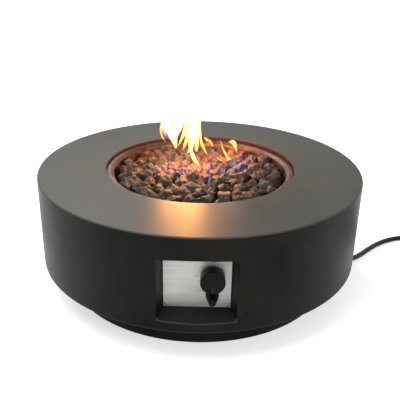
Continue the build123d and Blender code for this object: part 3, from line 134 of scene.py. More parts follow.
def new_group(name, inputs, outputs):
    """A shader node group of plain numbers, with what it is given and the places of its results."""
    group = bpy.data.node_groups.new(name, "ShaderNodeTree")
    for label, value in inputs.items():
        group.interface.new_socket(label, in_out="INPUT", socket_type="NodeSocketFloat").default_value = value
    for label in outputs:
        group.interface.new_socket(label, in_out="OUTPUT", socket_type="NodeSocketFloat")
    return group, group.nodes.new("NodeGroupInput").outputs, group.nodes.new("NodeGroupOutput").inputs


def add_group(material, group, values):
    """Places a node group in a material with its own values."""
    node = material.node_tree.nodes.new("ShaderNodeGroup")
    node.node_tree = group
    for label, value in values.items():
        node.inputs[label].default_value = value
    return node.outputs


def feed(material, label, socket):
    """Leads a socket to one of the shader's inputs."""
    tree = material.node_tree
    tree.links.new(socket, tree.nodes["Principled BSDF"].inputs[label])


def raise_surface(material, height, distance, strength):
    """Lets a height move the light on the surface."""
    lift = {"Distance": distance, "Strength": strength, "Height": height}
    feed(material, "Normal", add_node(material.node_tree, "Bump", lift).outputs["Normal"])


grain, given, result = new_group(
    "surface_grain", {"Patch Scale": 8.0, "Grain Scale": 300.0}, ["Patches", "Grain"]
)
place = object_place(grain)
for scale, out, detail in (("Patch Scale", "Patches", 5.0), ("Grain Scale", "Grain", 3.0)):
    values = {"Vector": place, "Scale": given[scale], "Detail": detail, "Roughness": 0.6}
    grain.links.new(add_node(grain, "TexNoise", values).outputs["Fac"], result[out])

dust, given, result = new_group("settled_dust", {"Scale": 40.0, "Amount": 0.3}, ["Dust"])
noise = add_node(dust, "TexNoise", {"Vector": object_place(dust), "Scale": given["Scale"], "Detail": 6.0})
cloudy = spread(dust, noise.outputs["Fac"], 0.35, 0.7)
settled = reckon(dust, "MULTIPLY", spread(dust, facing_up(dust), 0.2, 1.0), cloudy)
dust.links.new(reckon(dust, "MULTIPLY", settled, given["Amount"]), result["Dust"])


def rubber_finish(name, color, roughness, dust_color, dust_amount, specular=0.5):
    """Moulded rubber or plastic: a faint grain, patches of more and less gloss, and some dust on top."""
    material = new_material(name, color, roughness, specular=specular)
    tree = material.node_tree
    texture = add_group(material, grain, {"Patch Scale": 30.0, "Grain Scale": 900.0})
    film = add_group(material, dust, {"Scale": 60.0, "Amount": dust_amount})
    feed(material, "Base Color", mix_colors(tree, film["Dust"], color, dust_color))
    feed(material, "Roughness", spread(tree, texture["Patches"], 0.3, 0.7, roughness - 0.08, roughness + 0.1))
    raise_surface(material, texture["Grain"], 0.0002, 0.35)
    return material


def round_bar(name, places, radius, sides, steps, kind="NURBS"):
    """A curve with round walls near the places, each with x, y, z and, where it varies, its own width."""
    line = bpy.data.curves.new(name, "CURVE")
    line.dimensions = "3D"
    line.resolution_u = steps
    line.bevel_depth = radius
    line.bevel_resolution = sides
    line.use_fill_caps = True
    spline = line.splines.new(kind)
    spline.points.add(len(places) - 1)
    for point, (x, y, z, *width) in zip(spline.points, places):
        point.co = (x, y, z, 1)
        point.radius = width[0] if width else 1
    spline.order_u = 3
    spline.use_endpoint_u = True
    bar = bpy.data.objects.new(name, line)
    bpy.context.scene.collection.objects.link(bar)
    return bar


hose_rubber = rubber_finish("hose_rubber", (0.006, 0.006, 0.0065), 0.34, (0.06, 0.057, 0.053), 0.2, 0.25)
hose_radius = 0.006
hose_exit = Vector((0.28832, 0.01007, 0.024))
hose_points = [
    hose_exit,
    Vector((0.31031, 0.01084, 0.024)),
    Vector((0.334, 0.0171, 0.017)),
    Vector((0.357, 0.0305, 0.0095)),
    Vector((0.383, 0.054, 0.0062)),
    Vector((0.4135, 0.0877, 0.0062)),
    Vector((0.4435, 0.1173, 0.0062)),
    Vector((0.4795, 0.142, 0.0062)),
    Vector((0.5125, 0.154, 0.0062)),
    Vector((0.544, 0.1598, 0.007)),
    Vector((0.556, 0.161, 0.0076)),
    Vector((0.572, 0.161, 0.0076)),
]
coil_center_x = 0.584
coil_pitch = 0.0128
coil_radius = 0.0764
coil_y = 0.161
coil_z = 0.0076
coil_side = 1
half_turns, climbing_turn = 6, 3
corner_degrees = 30
for half_turn in range(half_turns):
    middle_y = coil_y - coil_side * coil_radius
    climb = coil_pitch if half_turn == climbing_turn else 0
    for step in range(180 // corner_degrees):
        angle = math.radians(corner_degrees / 2 + corner_degrees * step)
        reach = coil_side * coil_radius / math.cos(math.radians(corner_degrees / 2))
        across = Vector((math.sin(angle), math.cos(angle), 0)) * reach
        height = coil_z + climb * angle / math.pi
        hose_points.append(Vector((coil_center_x, middle_y, height)) + across)
    coil_z += climb
    coil_y = middle_y - coil_side * coil_radius
    coil_radius += coil_pitch / 2 if half_turn >= climbing_turn else -coil_pitch / 2
    coil_side = -coil_side
hose_points += [Vector((0.603, coil_y, coil_z)), Vector((0.658, coil_y, coil_z))]
gas_hose = round_bar("gas_hose", hose_points, hose_radius, 6, 8)
gas_hose.data.materials.append(hose_rubber)
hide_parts("gas_hose_run", "gas_hose_coil")
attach(gas_hose, "table")


def paint(piece, material):
    piece.data.materials.clear()
    piece.data.materials.append(material)


def dress(names, material):
    """Gives pieces that keep their built shape their finish."""
    for name in names:
        paint(cad[name], material)


dress(["inner_hose"], hose_rubber)
moulded_rubber = rubber_finish("moulded_rubber", (0.02, 0.02, 0.02), 0.62, (0.1, 0.095, 0.09), 0.35, 0.3)
dress(["hose_grommet", "foot_pads"], moulded_rubber)

# The drum and the plinth: dark concrete cast in a mould, rubbed smooth and sealed. The top ring is painted
# paler, and the faces below it that face up lighter, as painted light from above; the edges are paler, partly
# by wear and partly as a painted highlight; the sides keep the mould's cloudy brown patches; and the
# opening's rebate is painted rust red, as painted firelight from the flames.
pinholes, given, result = new_group("pinholes", {"Scale": 120.0, "Rarity": 0.7}, ["Holes", "Height"])
place = object_place(pinholes)
cells = add_node(pinholes, "TexVoronoi", {"Vector": place, "Scale": given["Scale"]}).outputs
drawn = add_node(pinholes, "SeparateColor", {"Color": cells["Color"]}).outputs["Red"]
some = reckon(pinholes, "GREATER_THAN", drawn, given["Rarity"])
holes = reckon(pinholes, "MULTIPLY", some, spread(pinholes, cells["Distance"], 0.08, 0.16, 1.0, 0.0))
pinholes.links.new(holes, result["Holes"])
noise = add_node(pinholes, "TexNoise", {"Vector": place, "Scale": 420.0, "Detail": 4.0})
rough = spread(pinholes, noise.outputs["Fac"], 0.0, 1.0, 0.0, 0.25)
pinholes.links.new(reckon(pinholes, "SUBTRACT", rough, holes), result["Height"])

pale_edges, given, result = new_group("pale_edges", {"Scale": 60.0, "Radius": 0.002, "Amount": 1.0}, ["Wear"])
rounded = add_node(pale_edges, "Bevel", {"Radius": given["Radius"]})
rounded.samples = 6
normal = pale_edges.nodes.new("ShaderNodeNewGeometry").outputs["Normal"]
bend = reckon(pale_edges, "DOT_PRODUCT", rounded.outputs["Normal"], normal, kind="VectorMath")
place = object_place(pale_edges)
noise = add_node(pale_edges, "TexNoise", {"Vector": place, "Scale": given["Scale"], "Detail": 5.0})
patchy = spread(pale_edges, noise.outputs["Fac"], 0.4, 0.62)
edge_paling = reckon(pale_edges, "MULTIPLY", spread(pale_edges, bend, 0.995, 0.8), patchy)
pale_edges.links.new(reckon(pale_edges, "MULTIPLY", edge_paling, given["Amount"]), result["Wear"])

concrete = new_material("sealed_dark_concrete", (0.01, 0.009, 0.008), 0.4, specular=0.085)
tree = concrete.node_tree
clouds = add_group(concrete, grain, {"Patch Scale": 7.0, "Grain Scale": 240.0})
specks = add_group(concrete, grain, {"Patch Scale": 60.0, "Grain Scale": 1200.0})
pits = add_group(concrete, pinholes, {"Scale": 120.0, "Rarity": 0.72})
edges = add_group(concrete, pale_edges, {"Scale": 25.0, "Radius": 0.003, "Amount": 1.0})
facing = facing_up(tree)
place = axes_of(tree, object_place(tree))
plan = add_node(tree, "CombineXYZ", {"X": place["X"], "Y": place["Y"]}).outputs["Vector"]
reach = reckon(tree, "LENGTH", plan, kind="VectorMath")
high = spread(tree, place["Z"], 0.244, 0.248)
flat = spread(tree, facing, 0.55, 0.95)
cloudy = spread(tree, clouds["Patches"], 0.33, 0.68)
color = mix_colors(tree, cloudy, (0.0035, 0.003, 0.0025), (0.0135, 0.0113, 0.0086))
# Painted light: the faces below the top ring that face up, such as the pocket's floor, are painted lighter,
# as the light that falls on them.
lit_upward_faces = spread(tree, reckon(tree, "SUBTRACT", flat, high), 0.0, 1.0, 0.0, 0.9)
color = mix_colors(tree, lit_upward_faces, color, (0.021, 0.0205, 0.018))
# Painted light: the top ring is painted much paler than the sides, as the light from above that falls on it.
lit_top_color = mix_colors(tree, cloudy, (0.036, 0.036, 0.030), (0.056, 0.055, 0.045))
color = mix_colors(tree, reckon(tree, "MULTIPLY", high, flat), color, lit_top_color)
speckled = spread(tree, specks["Patches"], 0.6, 0.8, 0.0, 0.3)
color = mix_colors(tree, speckled, color, (0.05, 0.045, 0.037))
# Painted shade: the pinholes are painted near black, as the shade inside them.
color = mix_colors(tree, pits["Holes"], color, (0.003, 0.003, 0.003))
# The edges are painted paler, partly as wear and partly as a painted highlight on their rounded faces.
color = mix_colors(tree, edges["Wear"], color, (0.085, 0.076, 0.063))
# Painted highlight: the rounded edges next to the drum's outer face that face partly up are painted paler, as
# light catching on them.
off_side = spread(tree, facing, 0.1, 0.35, 0.0, 0.8)
off_top = spread(tree, facing, 0.8, 0.96, 1.0, 0.0)
sloping = reckon(tree, "MULTIPLY", off_side, off_top)
paler_edges = reckon(tree, "MULTIPLY", sloping, spread(tree, reach, 0.333, 0.3355))
color = mix_colors(tree, paler_edges, color, (0.075, 0.071, 0.062))
# Painted firelight: the concrete inside the opening's rebate is painted rust red, as the flames' light
# falling on it.
painted_firelight = spread(tree, reach, 0.2003, 0.2009, 1.0, 0.0)
feed(concrete, "Base Color", mix_colors(tree, painted_firelight, color, (0.036, 0.0135, 0.0095)))
feed(concrete, "Roughness", spread(tree, clouds["Patches"], 0.3, 0.7, 0.34, 0.46))
raise_surface(concrete, pits["Height"], 0.0012, 0.5)
dress(["table_body", "base_plinth"], concrete)

# The control plate: brushed stainless steel sheet, 1.2 mm thick, held by four screws at the back of
# the pocket. The dial's positions are printed round the knob's hole.
brushed, given, result = new_group(
    "brushed_lines", {"Along X": 6.0, "Along Y": 500.0, "Along Z": 500.0}, ["Lines", "Clouds"]
)
place = object_place(brushed)
along = add_node(brushed, "CombineXYZ", {axis: given[f"Along {axis}"] for axis in "XYZ"}).outputs["Vector"]
stretched = reckon(brushed, "MULTIPLY", place, along, kind="VectorMath", out="Vector")
for out, vector, scale, detail in (("Lines", stretched, 1.0, 4.0), ("Clouds", place, 25.0, 5.0)):
    noise = add_node(brushed, "TexNoise", {"Vector": vector, "Scale": scale, "Detail": detail})
    brushed.links.new(spread(brushed, noise.outputs["Fac"], 0.3, 0.7), result[out])


def metal_finish(name, dark, light, roughness, lines, edges=0.0, metallic=1.0):
    """Bare or plated metal: fine tool or brush lines, cloudy gloss, and brighter worn edges."""
    material = new_material(name, light, roughness, metallic=metallic)
    tree = material.node_tree
    texture = add_group(material, brushed, dict(zip(("Along X", "Along Y", "Along Z"), lines)))
    color = mix_colors(tree, texture["Lines"], dark, light)
    if edges:
        paler_edges = add_group(material, pale_edges, {"Scale": 400.0, "Radius": 0.0006, "Amount": edges})
        bright = tuple(min(1.0, 1.25 * part) for part in light)
        color = mix_colors(tree, paler_edges["Wear"], color, bright)
    feed(material, "Base Color", color)
    feed(material, "Roughness", spread(tree, texture["Clouds"], 0.0, 1.0, roughness - 0.06, roughness + 0.1))
    raise_surface(material, texture["Lines"], 0.00008, 0.3)
    return material


stainless = metal_finish(
    "brushed_stainless", (0.42, 0.42, 0.40), (0.54, 0.54, 0.52), 0.46, (10, 900, 900), edges=0.5, metallic=0.8
)
dress(["control_plate", "spark_electrode"], stainless)
plate_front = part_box("control_plate")[0].y
heads_low, heads_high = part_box("plate_screws")
head_radius = 0.0034
head_edge = 0.0011
head_height = plate_front - heads_low.y
bpy.ops.mesh.primitive_cylinder_add(vertices=40, radius=head_radius, depth=head_height)
screw_head = bpy.context.object
bpy.ops.object.mode_set(mode="EDIT")
bpy.ops.mesh.select_all(action="DESELECT")
bpy.ops.mesh.select_mode(type="FACE")
bpy.ops.object.mode_set(mode="OBJECT")
for face in screw_head.data.polygons:
    face.select = face.normal.z > 0.9
bpy.ops.object.mode_set(mode="EDIT")
bpy.ops.mesh.bevel(offset=head_edge, segments=5)
bpy.ops.object.mode_set(mode="OBJECT")
cross_slot = (0.0038, 0.0007, 0.0016)
for turn_angle in (0, math.pi / 2):
    bpy.ops.mesh.primitive_cube_add(size=1, location=(0, 0, head_height / 2), rotation=(0, 0, turn_angle))
    slot_cutter = bpy.context.object
    slot_cutter.scale = cross_slot
    bpy.context.view_layer.objects.active = screw_head
    bpy.ops.object.modifier_add(type="BOOLEAN")
    screw_head.modifiers[-1].object = slot_cutter
    screw_head.modifiers[-1].operation = "DIFFERENCE"
    bpy.ops.object.modifier_apply(modifier=screw_head.modifiers[-1].name)
    bpy.data.objects.remove(slot_cutter)
screw_steel = metal_finish(
    "screw_steel", (0.28, 0.28, 0.27), (0.5, 0.5, 0.48), 0.3, (500, 500, 500), edges=0.6
)
screw_chance = random.Random(3)
bpy.ops.object.select_all(action="DESELECT")
for x in (heads_low.x + head_radius, heads_high.x - head_radius):
    for z in (heads_low.z + head_radius, heads_high.z - head_radius):
        head_mesh = screw_head.data.copy()
        head_mesh.transform(Matrix.Rotation(screw_chance.uniform(0, math.pi), 4, "Z"))
        head_mesh.transform(Matrix.Rotation(math.pi / 2, 4, "X"))
        head_mesh.transform(Matrix.Translation((x, heads_low.y + head_height / 2, z)))
        head = bpy.data.objects.new("plate_screw_head", head_mesh)
        bpy.context.scene.collection.objects.link(head)
        head.select_set(True)
        bpy.context.view_layer.objects.active = head
bpy.ops.object.join()
plate_screws = bpy.context.object
plate_screws.name = "plate_screw_heads"
paint(plate_screws, screw_steel)
bpy.ops.object.shade_smooth_by_angle(angle=math.radians(35))
bpy.data.objects.remove(screw_head)
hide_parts("plate_screws")
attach(plate_screws, "table")

dial_ink = new_material("dial_ink", (0.03, 0.03, 0.035), 0.5, specular=0.3)
tree = dial_ink.node_tree
texture = add_group(dial_ink, grain, {"Patch Scale": 300.0, "Grain Scale": 2500.0})
ink_mask = spread(tree, texture["Patches"], 0.4, 0.8)
feed(dial_ink, "Base Color", mix_colors(tree, ink_mask, (0.02, 0.02, 0.024), (0.09, 0.09, 0.095)))
feed(dial_ink, "Roughness", spread(tree, texture["Grain"], 0.3, 0.7, 0.42, 0.6))
dial_x, dial_z, dial_radius = 0.027, 0.155, 0.0255
ink_depth = 0.00006
letter_height = 0.0052
first_tick, tick_apart = 190, 20
tick_width, tick_length, long_tick_length = 0.0007, 0.0024, 0.0034
dial_marks = []
bpy.ops.object.select_all(action="DESELECT")
for word, x, z in (("OFF", dial_x, 0.1815), ("HI", -0.0022, dial_z - 0.0018), ("LO", 0.0065, 0.1235)):
    bpy.ops.object.text_add()
    letters = bpy.context.object.data
    letters.body = word
    letters.size = letter_height
    letters.align_x = "CENTER"
    letters.extrude = ink_depth / 2
    bpy.ops.object.convert(target="MESH")
    printed = bpy.context.object
    printed.data.transform(Matrix.Rotation(math.pi / 2, 4, "X"))
    printed.data.transform(Matrix.Translation((x, plate_front - ink_depth / 2, z)))
    dial_marks.append(printed)
    bpy.ops.object.select_all(action="DESELECT")
for step in range(7):
    mark_angle = math.radians(first_tick + tick_apart * step)
    bpy.ops.mesh.primitive_plane_add(size=1)
    tick = bpy.context.object
    tick.scale = (tick_width, tick_length if step % 3 else long_tick_length, 1)
    bpy.ops.object.transform_apply(location=False, rotation=False, scale=True)
    bpy.ops.object.mode_set(mode="EDIT")
    bpy.ops.mesh.select_all(action="SELECT")
    bpy.ops.mesh.extrude_region_move(TRANSFORM_OT_translate={"value": (0, 0, ink_depth)})
    bpy.ops.mesh.select_all(action="SELECT")
    bpy.ops.mesh.normals_make_consistent(inside=False)
    bpy.ops.object.mode_set(mode="OBJECT")
    tick.data.transform(Matrix.Translation((0, dial_radius, 0)))
    tick.data.transform(Matrix.Rotation(-mark_angle, 4, "Z"))
    tick.data.transform(Matrix.Rotation(math.pi / 2, 4, "X"))
    tick.data.transform(Matrix.Translation((dial_x, plate_front, dial_z)))
    dial_marks.append(tick)
    bpy.ops.object.select_all(action="DESELECT")
for mark in dial_marks:
    mark.select_set(True)
bpy.context.view_layer.objects.active = dial_marks[0]
bpy.ops.object.join()
dial_print = bpy.context.object
dial_print.name = "dial_print"
paint(dial_print, dial_ink)
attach(dial_print, "table")

# The valve and the gas fittings behind the plate: machined brass.
brass = metal_finish("machined_brass", (0.46, 0.30, 0.11), (0.66, 0.46, 0.19), 0.27, (60, 900, 60), edges=0.6)
dress(
    ["valve_body", "valve_bonnet", "valve_plunger", "valve_stem", "igniter_terminal", "inlet_fitting"]
    + ["inlet_nipple", "gas_jet", "outlet_nut", "jet_nut"],
    brass,
)

# Plated steel hardware: bolts, washers, nuts and screws.
zinc = metal_finish("zinc_plate", (0.42, 0.43, 0.43), (0.60, 0.61, 0.60), 0.34, (300, 300, 300), edges=0.5)
dress(
    ["plinth_bolts", "plinth_washers", "valve_screws", "igniter_nut", "burner_nut", "air_mixer"]
    + ["regulator_screws"],
    zinc,
)
spring_steel = metal_finish("spring_steel", (0.30, 0.31, 0.32), (0.50, 0.51, 0.52), 0.26, (900, 900, 60))


def into_mesh(bar, material):
    """Makes a curve a mesh of one material."""
    bar.select_set(True)
    bpy.context.view_layer.objects.active = bar
    bpy.ops.object.convert(target="MESH")
    bar = bpy.context.object
    paint(bar, material)
    return bar


def coil_spring(name, node, wire, turns):
    """A coil of round wire as long as the node."""
    low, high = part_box(node)
    middle = (low + high) / 2
    length = high.y - low.y
    reach = (high.x - low.x - wire) / 2
    places_per_turn = 36
    steps = places_per_turn * turns
    places = []
    for step in range(steps + 1):
        angle = math.tau * turns * step / steps
        y = low.y + wire / 2 + step / steps * (length - wire)
        places.append((middle.x + reach * math.cos(angle), y, middle.z + reach * math.sin(angle)))
    coil = into_mesh(round_bar(name, places, wire / 2, 3, 1, kind="POLY"), spring_steel)
    bpy.ops.object.shade_smooth()
    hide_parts(node)
    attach(coil, "table")
    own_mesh(coil)
    bpy.ops.object.select_all(action="DESELECT")


# The springs behind the knob's stem and in the igniter's button: coils of round steel wire that stand on
# their rear ends and shorten as the knob or the button is pushed in.
coil_spring("valve_coil", "valve_spring", 0.00125, 5)
coil_spring("igniter_coil", "igniter_spring", 0.0011, 6)

aluminium = metal_finish(
    "drawn_aluminium", (0.52, 0.52, 0.52), (0.68, 0.68, 0.68), 0.4, (120, 400, 400), edges=0.3
)
dress(["gas_tube"], aluminium)

# The regulator: two halves of grey zinc, cast under pressure and left rough from the die.
cast_zinc = new_material("cast_zinc", (0.34, 0.35, 0.36), 0.5, metallic=0.9)
tree = cast_zinc.node_tree
texture = add_group(cast_zinc, grain, {"Patch Scale": 70.0, "Grain Scale": 1100.0})
edges = add_group(cast_zinc, pale_edges, {"Scale": 300.0, "Radius": 0.0008, "Amount": 0.7})
patchy = spread(tree, texture["Patches"], 0.35, 0.68)
color = mix_colors(tree, patchy, (0.24, 0.25, 0.26), (0.42, 0.43, 0.44))
feed(cast_zinc, "Base Color", mix_colors(tree, edges["Wear"], color, (0.58, 0.59, 0.6)))
feed(cast_zinc, "Roughness", spread(tree, texture["Patches"], 0.3, 0.7, 0.42, 0.6))
raise_surface(cast_zinc, texture["Grain"], 0.0005, 0.5)
dress(["regulator_body", "regulator_cover"], cast_zinc)
copper = metal_finish("copper", (0.42, 0.19, 0.10), (0.62, 0.32, 0.19), 0.32, (300, 300, 60), edges=0.3)
dress(["thermocouple", "thermocouple_lead"], copper)

# The hose's crimped ferrule: a plated steel sleeve on the regulator's end of the hose, pressed on
# it in three rings. Each step of its outline is how far along it is and how wide, as shares.
ferrule_low, ferrule_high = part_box("hose_ferrule")
ferrule_middle = (ferrule_low + ferrule_high) / 2
ferrule_radius = (ferrule_high.z - ferrule_low.z) / 2
ferrule_length = ferrule_high.x - ferrule_low.x
crimped = 0.92
ferrule_steps = [(0.0, 0.84), (0.025, 0.95), (0.06, 1.0)]
for ring in (0.15, 0.37, 0.59):
    ferrule_steps += [(ring, 1.0), (ring + 0.03, crimped), (ring + 0.1, crimped), (ring + 0.13, 1.0)]
ferrule_steps += [(0.96, 1.0), (1.0, 0.93)]
bpy.ops.mesh.primitive_circle_add(
    vertices=48,
    radius=ferrule_radius * ferrule_steps[0][1],
    fill_type="NGON",
    location=(ferrule_low.x, ferrule_middle.y, ferrule_middle.z),
    rotation=(0, math.pi / 2, 0),
)
crimped_ferrule = bpy.context.object
crimped_ferrule.name = "crimped_ferrule"
bpy.ops.object.transform_apply(location=True, rotation=True, scale=True)
bpy.ops.object.mode_set(mode="EDIT")
bpy.ops.mesh.select_all(action="SELECT")
for (along_before, wide_before), (along, wide) in zip(ferrule_steps, ferrule_steps[1:]):
    step_length = (along - along_before) * ferrule_length
    bpy.ops.mesh.extrude_region_move(TRANSFORM_OT_translate={"value": (step_length, 0, 0)})
    here = (ferrule_low.x + along * ferrule_length, ferrule_middle.y, ferrule_middle.z)
    bpy.ops.transform.resize(value=(1, wide / wide_before, wide / wide_before), center_override=here)
bpy.ops.mesh.select_all(action="SELECT")
bpy.ops.mesh.normals_make_consistent(inside=False)
bpy.ops.object.mode_set(mode="OBJECT")
bpy.ops.object.shade_smooth_by_angle(angle=math.radians(40))
crimped_ferrule.data.materials.append(zinc)
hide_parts("hose_ferrule")
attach(crimped_ferrule, "table")
bpy.ops.object.select_all(action="DESELECT")

# The hose tie: a woven hook-and-loop strap, 12 mm wide, drawn round the coil's turns with its free
# end pressed down on top.
tie_low, tie_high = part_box("hose_tie")
tie_middle, tie_size = (tie_low + tie_high) / 2, tie_high - tie_low
strap_thickness = 0.0011
strap_corner, end_corner, strap_edge = 0.0022, 0.003, 0.0002
end_place = Vector((tie_middle.x + 0.0006, tie_middle.y + 0.002, tie_high.z + 0.00045))
end_share = 0.62
bpy.ops.mesh.primitive_cube_add(size=1, location=tie_middle)
tie_strap = bpy.context.object
tie_strap.scale = tie_size
bpy.ops.object.transform_apply(location=True, rotation=True, scale=True)
for face in tie_strap.data.polygons:
    face.select = abs(face.normal.x) > 0.9
bpy.ops.object.mode_set(mode="EDIT")
bpy.ops.mesh.delete(type="ONLY_FACE")
bpy.ops.mesh.select_all(action="DESELECT")
bpy.ops.mesh.select_mode(type="EDGE")
bpy.ops.object.mode_set(mode="OBJECT")
for edge in tie_strap.data.edges:
    ends = [tie_strap.data.vertices[i].co for i in edge.vertices]
    edge.select = abs(ends[0].x - ends[1].x) > tie_size.x / 2
bpy.ops.object.mode_set(mode="EDIT")
bpy.ops.mesh.bevel(offset=strap_corner, segments=6)
bpy.ops.mesh.select_all(action="SELECT")
bpy.ops.mesh.normals_make_consistent(inside=False)
bpy.ops.object.mode_set(mode="OBJECT")
bpy.ops.object.modifier_add(type="SOLIDIFY")
tie_strap.modifiers[-1].thickness = strap_thickness
tie_strap.modifiers[-1].offset = -1
bpy.ops.object.modifier_apply(modifier=tie_strap.modifiers[-1].name)
bpy.ops.mesh.primitive_cube_add(size=1, location=end_place)
tie_end = bpy.context.object
tie_end.scale = (tie_size.x, tie_size.y * end_share, strap_thickness)
bpy.ops.object.transform_apply(location=True, rotation=True, scale=True)
bpy.ops.object.mode_set(mode="EDIT")
bpy.ops.mesh.select_all(action="DESELECT")
bpy.ops.object.mode_set(mode="OBJECT")
for edge in tie_end.data.edges:
    ends = [tie_end.data.vertices[i].co for i in edge.vertices]
    edge.select = abs(ends[0].z - ends[1].z) > strap_thickness / 2
bpy.ops.object.mode_set(mode="EDIT")
bpy.ops.mesh.bevel(offset=end_corner, segments=6)
bpy.ops.object.mode_set(mode="OBJECT")
tie_strap.select_set(True)
bpy.context.view_layer.objects.active = tie_strap
bpy.ops.object.join()
tie_strap.name = "tie_strap"
bpy.ops.object.modifier_add(type="BEVEL")
tie_strap.modifiers[-1].width = strap_edge
tie_strap.modifiers[-1].segments = 2
bpy.ops.object.modifier_apply(modifier=tie_strap.modifiers[-1].name)
bpy.ops.object.shade_smooth_by_angle(angle=math.radians(40))
woven_strap = new_material("woven_strap", (0.02, 0.02, 0.022), 0.85, specular=0.2)
tree = woven_strap.node_tree
weave = add_node(tree, "TexChecker", {"Vector": object_place(tree), "Scale": 1300.0}).outputs["Fac"]
texture = add_group(woven_strap, grain, {"Patch Scale": 90.0, "Grain Scale": 2600.0})
height = reckon(tree, "ADD", weave, texture["Grain"])
color = mix_colors(tree, spread(tree, height, 0.3, 1.6), (0.008, 0.008, 0.009), (0.036, 0.036, 0.04))
feed(woven_strap, "Base Color", color)
feed(woven_strap, "Roughness", spread(tree, texture["Patches"], 0.3, 0.7, 0.75, 0.95))
raise_surface(woven_strap, height, 0.0003, 0.6)
paint(tie_strap, woven_strap)
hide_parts("hose_tie")
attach(tie_strap, "table")
bpy.ops.object.select_all(action="DESELECT")

# The knob and the igniter button: glossy black moulded plastic.
black_plastic = rubber_finish("black_plastic", (0.003, 0.003, 0.0034), 0.22, (0.05, 0.05, 0.05), 0.04, 0.1)
dress(["control_knob", "igniter_housing", "igniter_button", "regulator_vent", "hand_nut"], black_plastic)
pointer_plastic = rubber_finish("pointer_plastic", (0.012, 0.012, 0.012), 0.3, (0.07, 0.07, 0.07), 0.1, 0.3)
dress(["knob_pointer"], pointer_plastic)
ceramic = new_material("glazed_ceramic", (0.72, 0.69, 0.62), 0.2)
tree = ceramic.node_tree
texture = add_group(ceramic, grain, {"Patch Scale": 120.0, "Grain Scale": 900.0})
ceramic_mask = spread(tree, texture["Patches"], 0.35, 0.7)
feed(ceramic, "Base Color", mix_colors(tree, ceramic_mask, (0.5, 0.46, 0.39), (0.76, 0.73, 0.67)))
feed(ceramic, "Roughness", spread(tree, texture["Grain"], 0.3, 0.7, 0.15, 0.3))
dress(["electrode_ceramic"], ceramic)
dress(["ignition_wire"], moulded_rubber)

# The burner pan and the burner: stainless steel, coloured partly by the heat and partly with painted
# firelight: straw on the pan's flange and shoulder, and a warm brown below them.
heat_tint_and_firelight_steel = new_material("heat_tinted_firelit_steel", (0.2, 0.1, 0.06), 0.42, metallic=1.0)
tree = heat_tint_and_firelight_steel.node_tree
lines = add_group(heat_tint_and_firelight_steel, brushed, {"Along X": 90.0, "Along Y": 90.0, "Along Z": 14.0})
clouds = add_group(heat_tint_and_firelight_steel, grain, {"Patch Scale": 16.0, "Grain Scale": 500.0})
cloudy = spread(tree, clouds["Patches"], 0.35, 0.66)
rim = spread(tree, axes_of(tree, object_place(tree))["Z"], 0.2375, 0.2395)
wall_brown = mix_colors(tree, cloudy, (0.05, 0.022, 0.014), (0.115, 0.056, 0.036))
rim_straw = mix_colors(tree, cloudy, (0.078, 0.05, 0.041), (0.13, 0.09, 0.075))
straw_brown = mix_colors(tree, rim, wall_brown, rim_straw)
feed(heat_tint_and_firelight_steel, "Base Color", mix_colors(tree, lines["Lines"], (0.04, 0.023, 0.018), straw_brown))
feed(heat_tint_and_firelight_steel, "Roughness", spread(tree, lines["Clouds"], 0.0, 1.0, 0.34, 0.56))
raise_surface(heat_tint_and_firelight_steel, clouds["Grain"], 0.0003, 0.2)
dress(["burner_pan", "ring_burner", "pilot_bracket"], heat_tint_and_firelight_steel)
scorched = metal_finish("scorched_steel", (0.012, 0.011, 0.012), (0.07, 0.055, 0.05), 0.5, (200, 200, 200))
dress(["pilot_guard"], scorched)

# The rocks: tumbled lava rock of 25 to 45 mm, rounded and full of pores, from grey green to rust,
# heaped over the burner in two layers. Each lies where its built solid lies.
pores, given, result = new_group("stone_pores", {"Scale": 300.0, "Depth": 1.0}, ["Pores", "Height"])
place = object_place(pores)
cells = add_node(pores, "TexVoronoi", {"Vector": place, "Scale": given["Scale"]}).outputs
noise = add_node(pores, "TexNoise", {"Vector": place, "Scale": 120.0, "Detail": 6.0}).outputs["Fac"]
near = spread(pores, cells["Distance"], 0.12, 0.4, 1.0, 0.0)
hollows = reckon(pores, "MULTIPLY", near, spread(pores, noise, 0.4, 0.6))
pores.links.new(hollows, result["Pores"])
sunk = reckon(pores, "SUBTRACT", noise, reckon(pores, "MULTIPLY", hollows, given["Depth"]))
pores.links.new(sunk, result["Height"])

lava = new_material("lava_rock", (0.05, 0.045, 0.04), 0.8, specular=0.3)
tree = lava.node_tree
texture = add_group(lava, grain, {"Patch Scale": 34.0, "Grain Scale": 500.0})
holes = add_group(lava, pores, {"Scale": 330.0, "Depth": 1.0})
tone = add_node(tree, "Attribute", {})
tone.attribute_name = "rock_tone"
patchy = spread(tree, texture["Patches"], 0.35, 0.68)
grey_green = mix_colors(tree, patchy, (0.012, 0.0128, 0.0098), (0.056, 0.0555, 0.042))
rust_brown = mix_colors(tree, patchy, (0.024, 0.0115, 0.008), (0.085, 0.038, 0.023))
rusty = spread(tree, tone.outputs["Fac"], 0.5, 0.95, 0.0, 0.9)
color = mix_colors(tree, rusty, grey_green, rust_brown)
# Painted shade: the pores are painted near black, as the shade inside them.
feed(lava, "Base Color", mix_colors(tree, holes["Pores"], color, (0.012, 0.01, 0.009)))
feed(lava, "Roughness", spread(tree, texture["Grain"], 0.3, 0.7, 0.62, 0.92))
raise_surface(lava, holes["Height"], 0.003, 0.9)

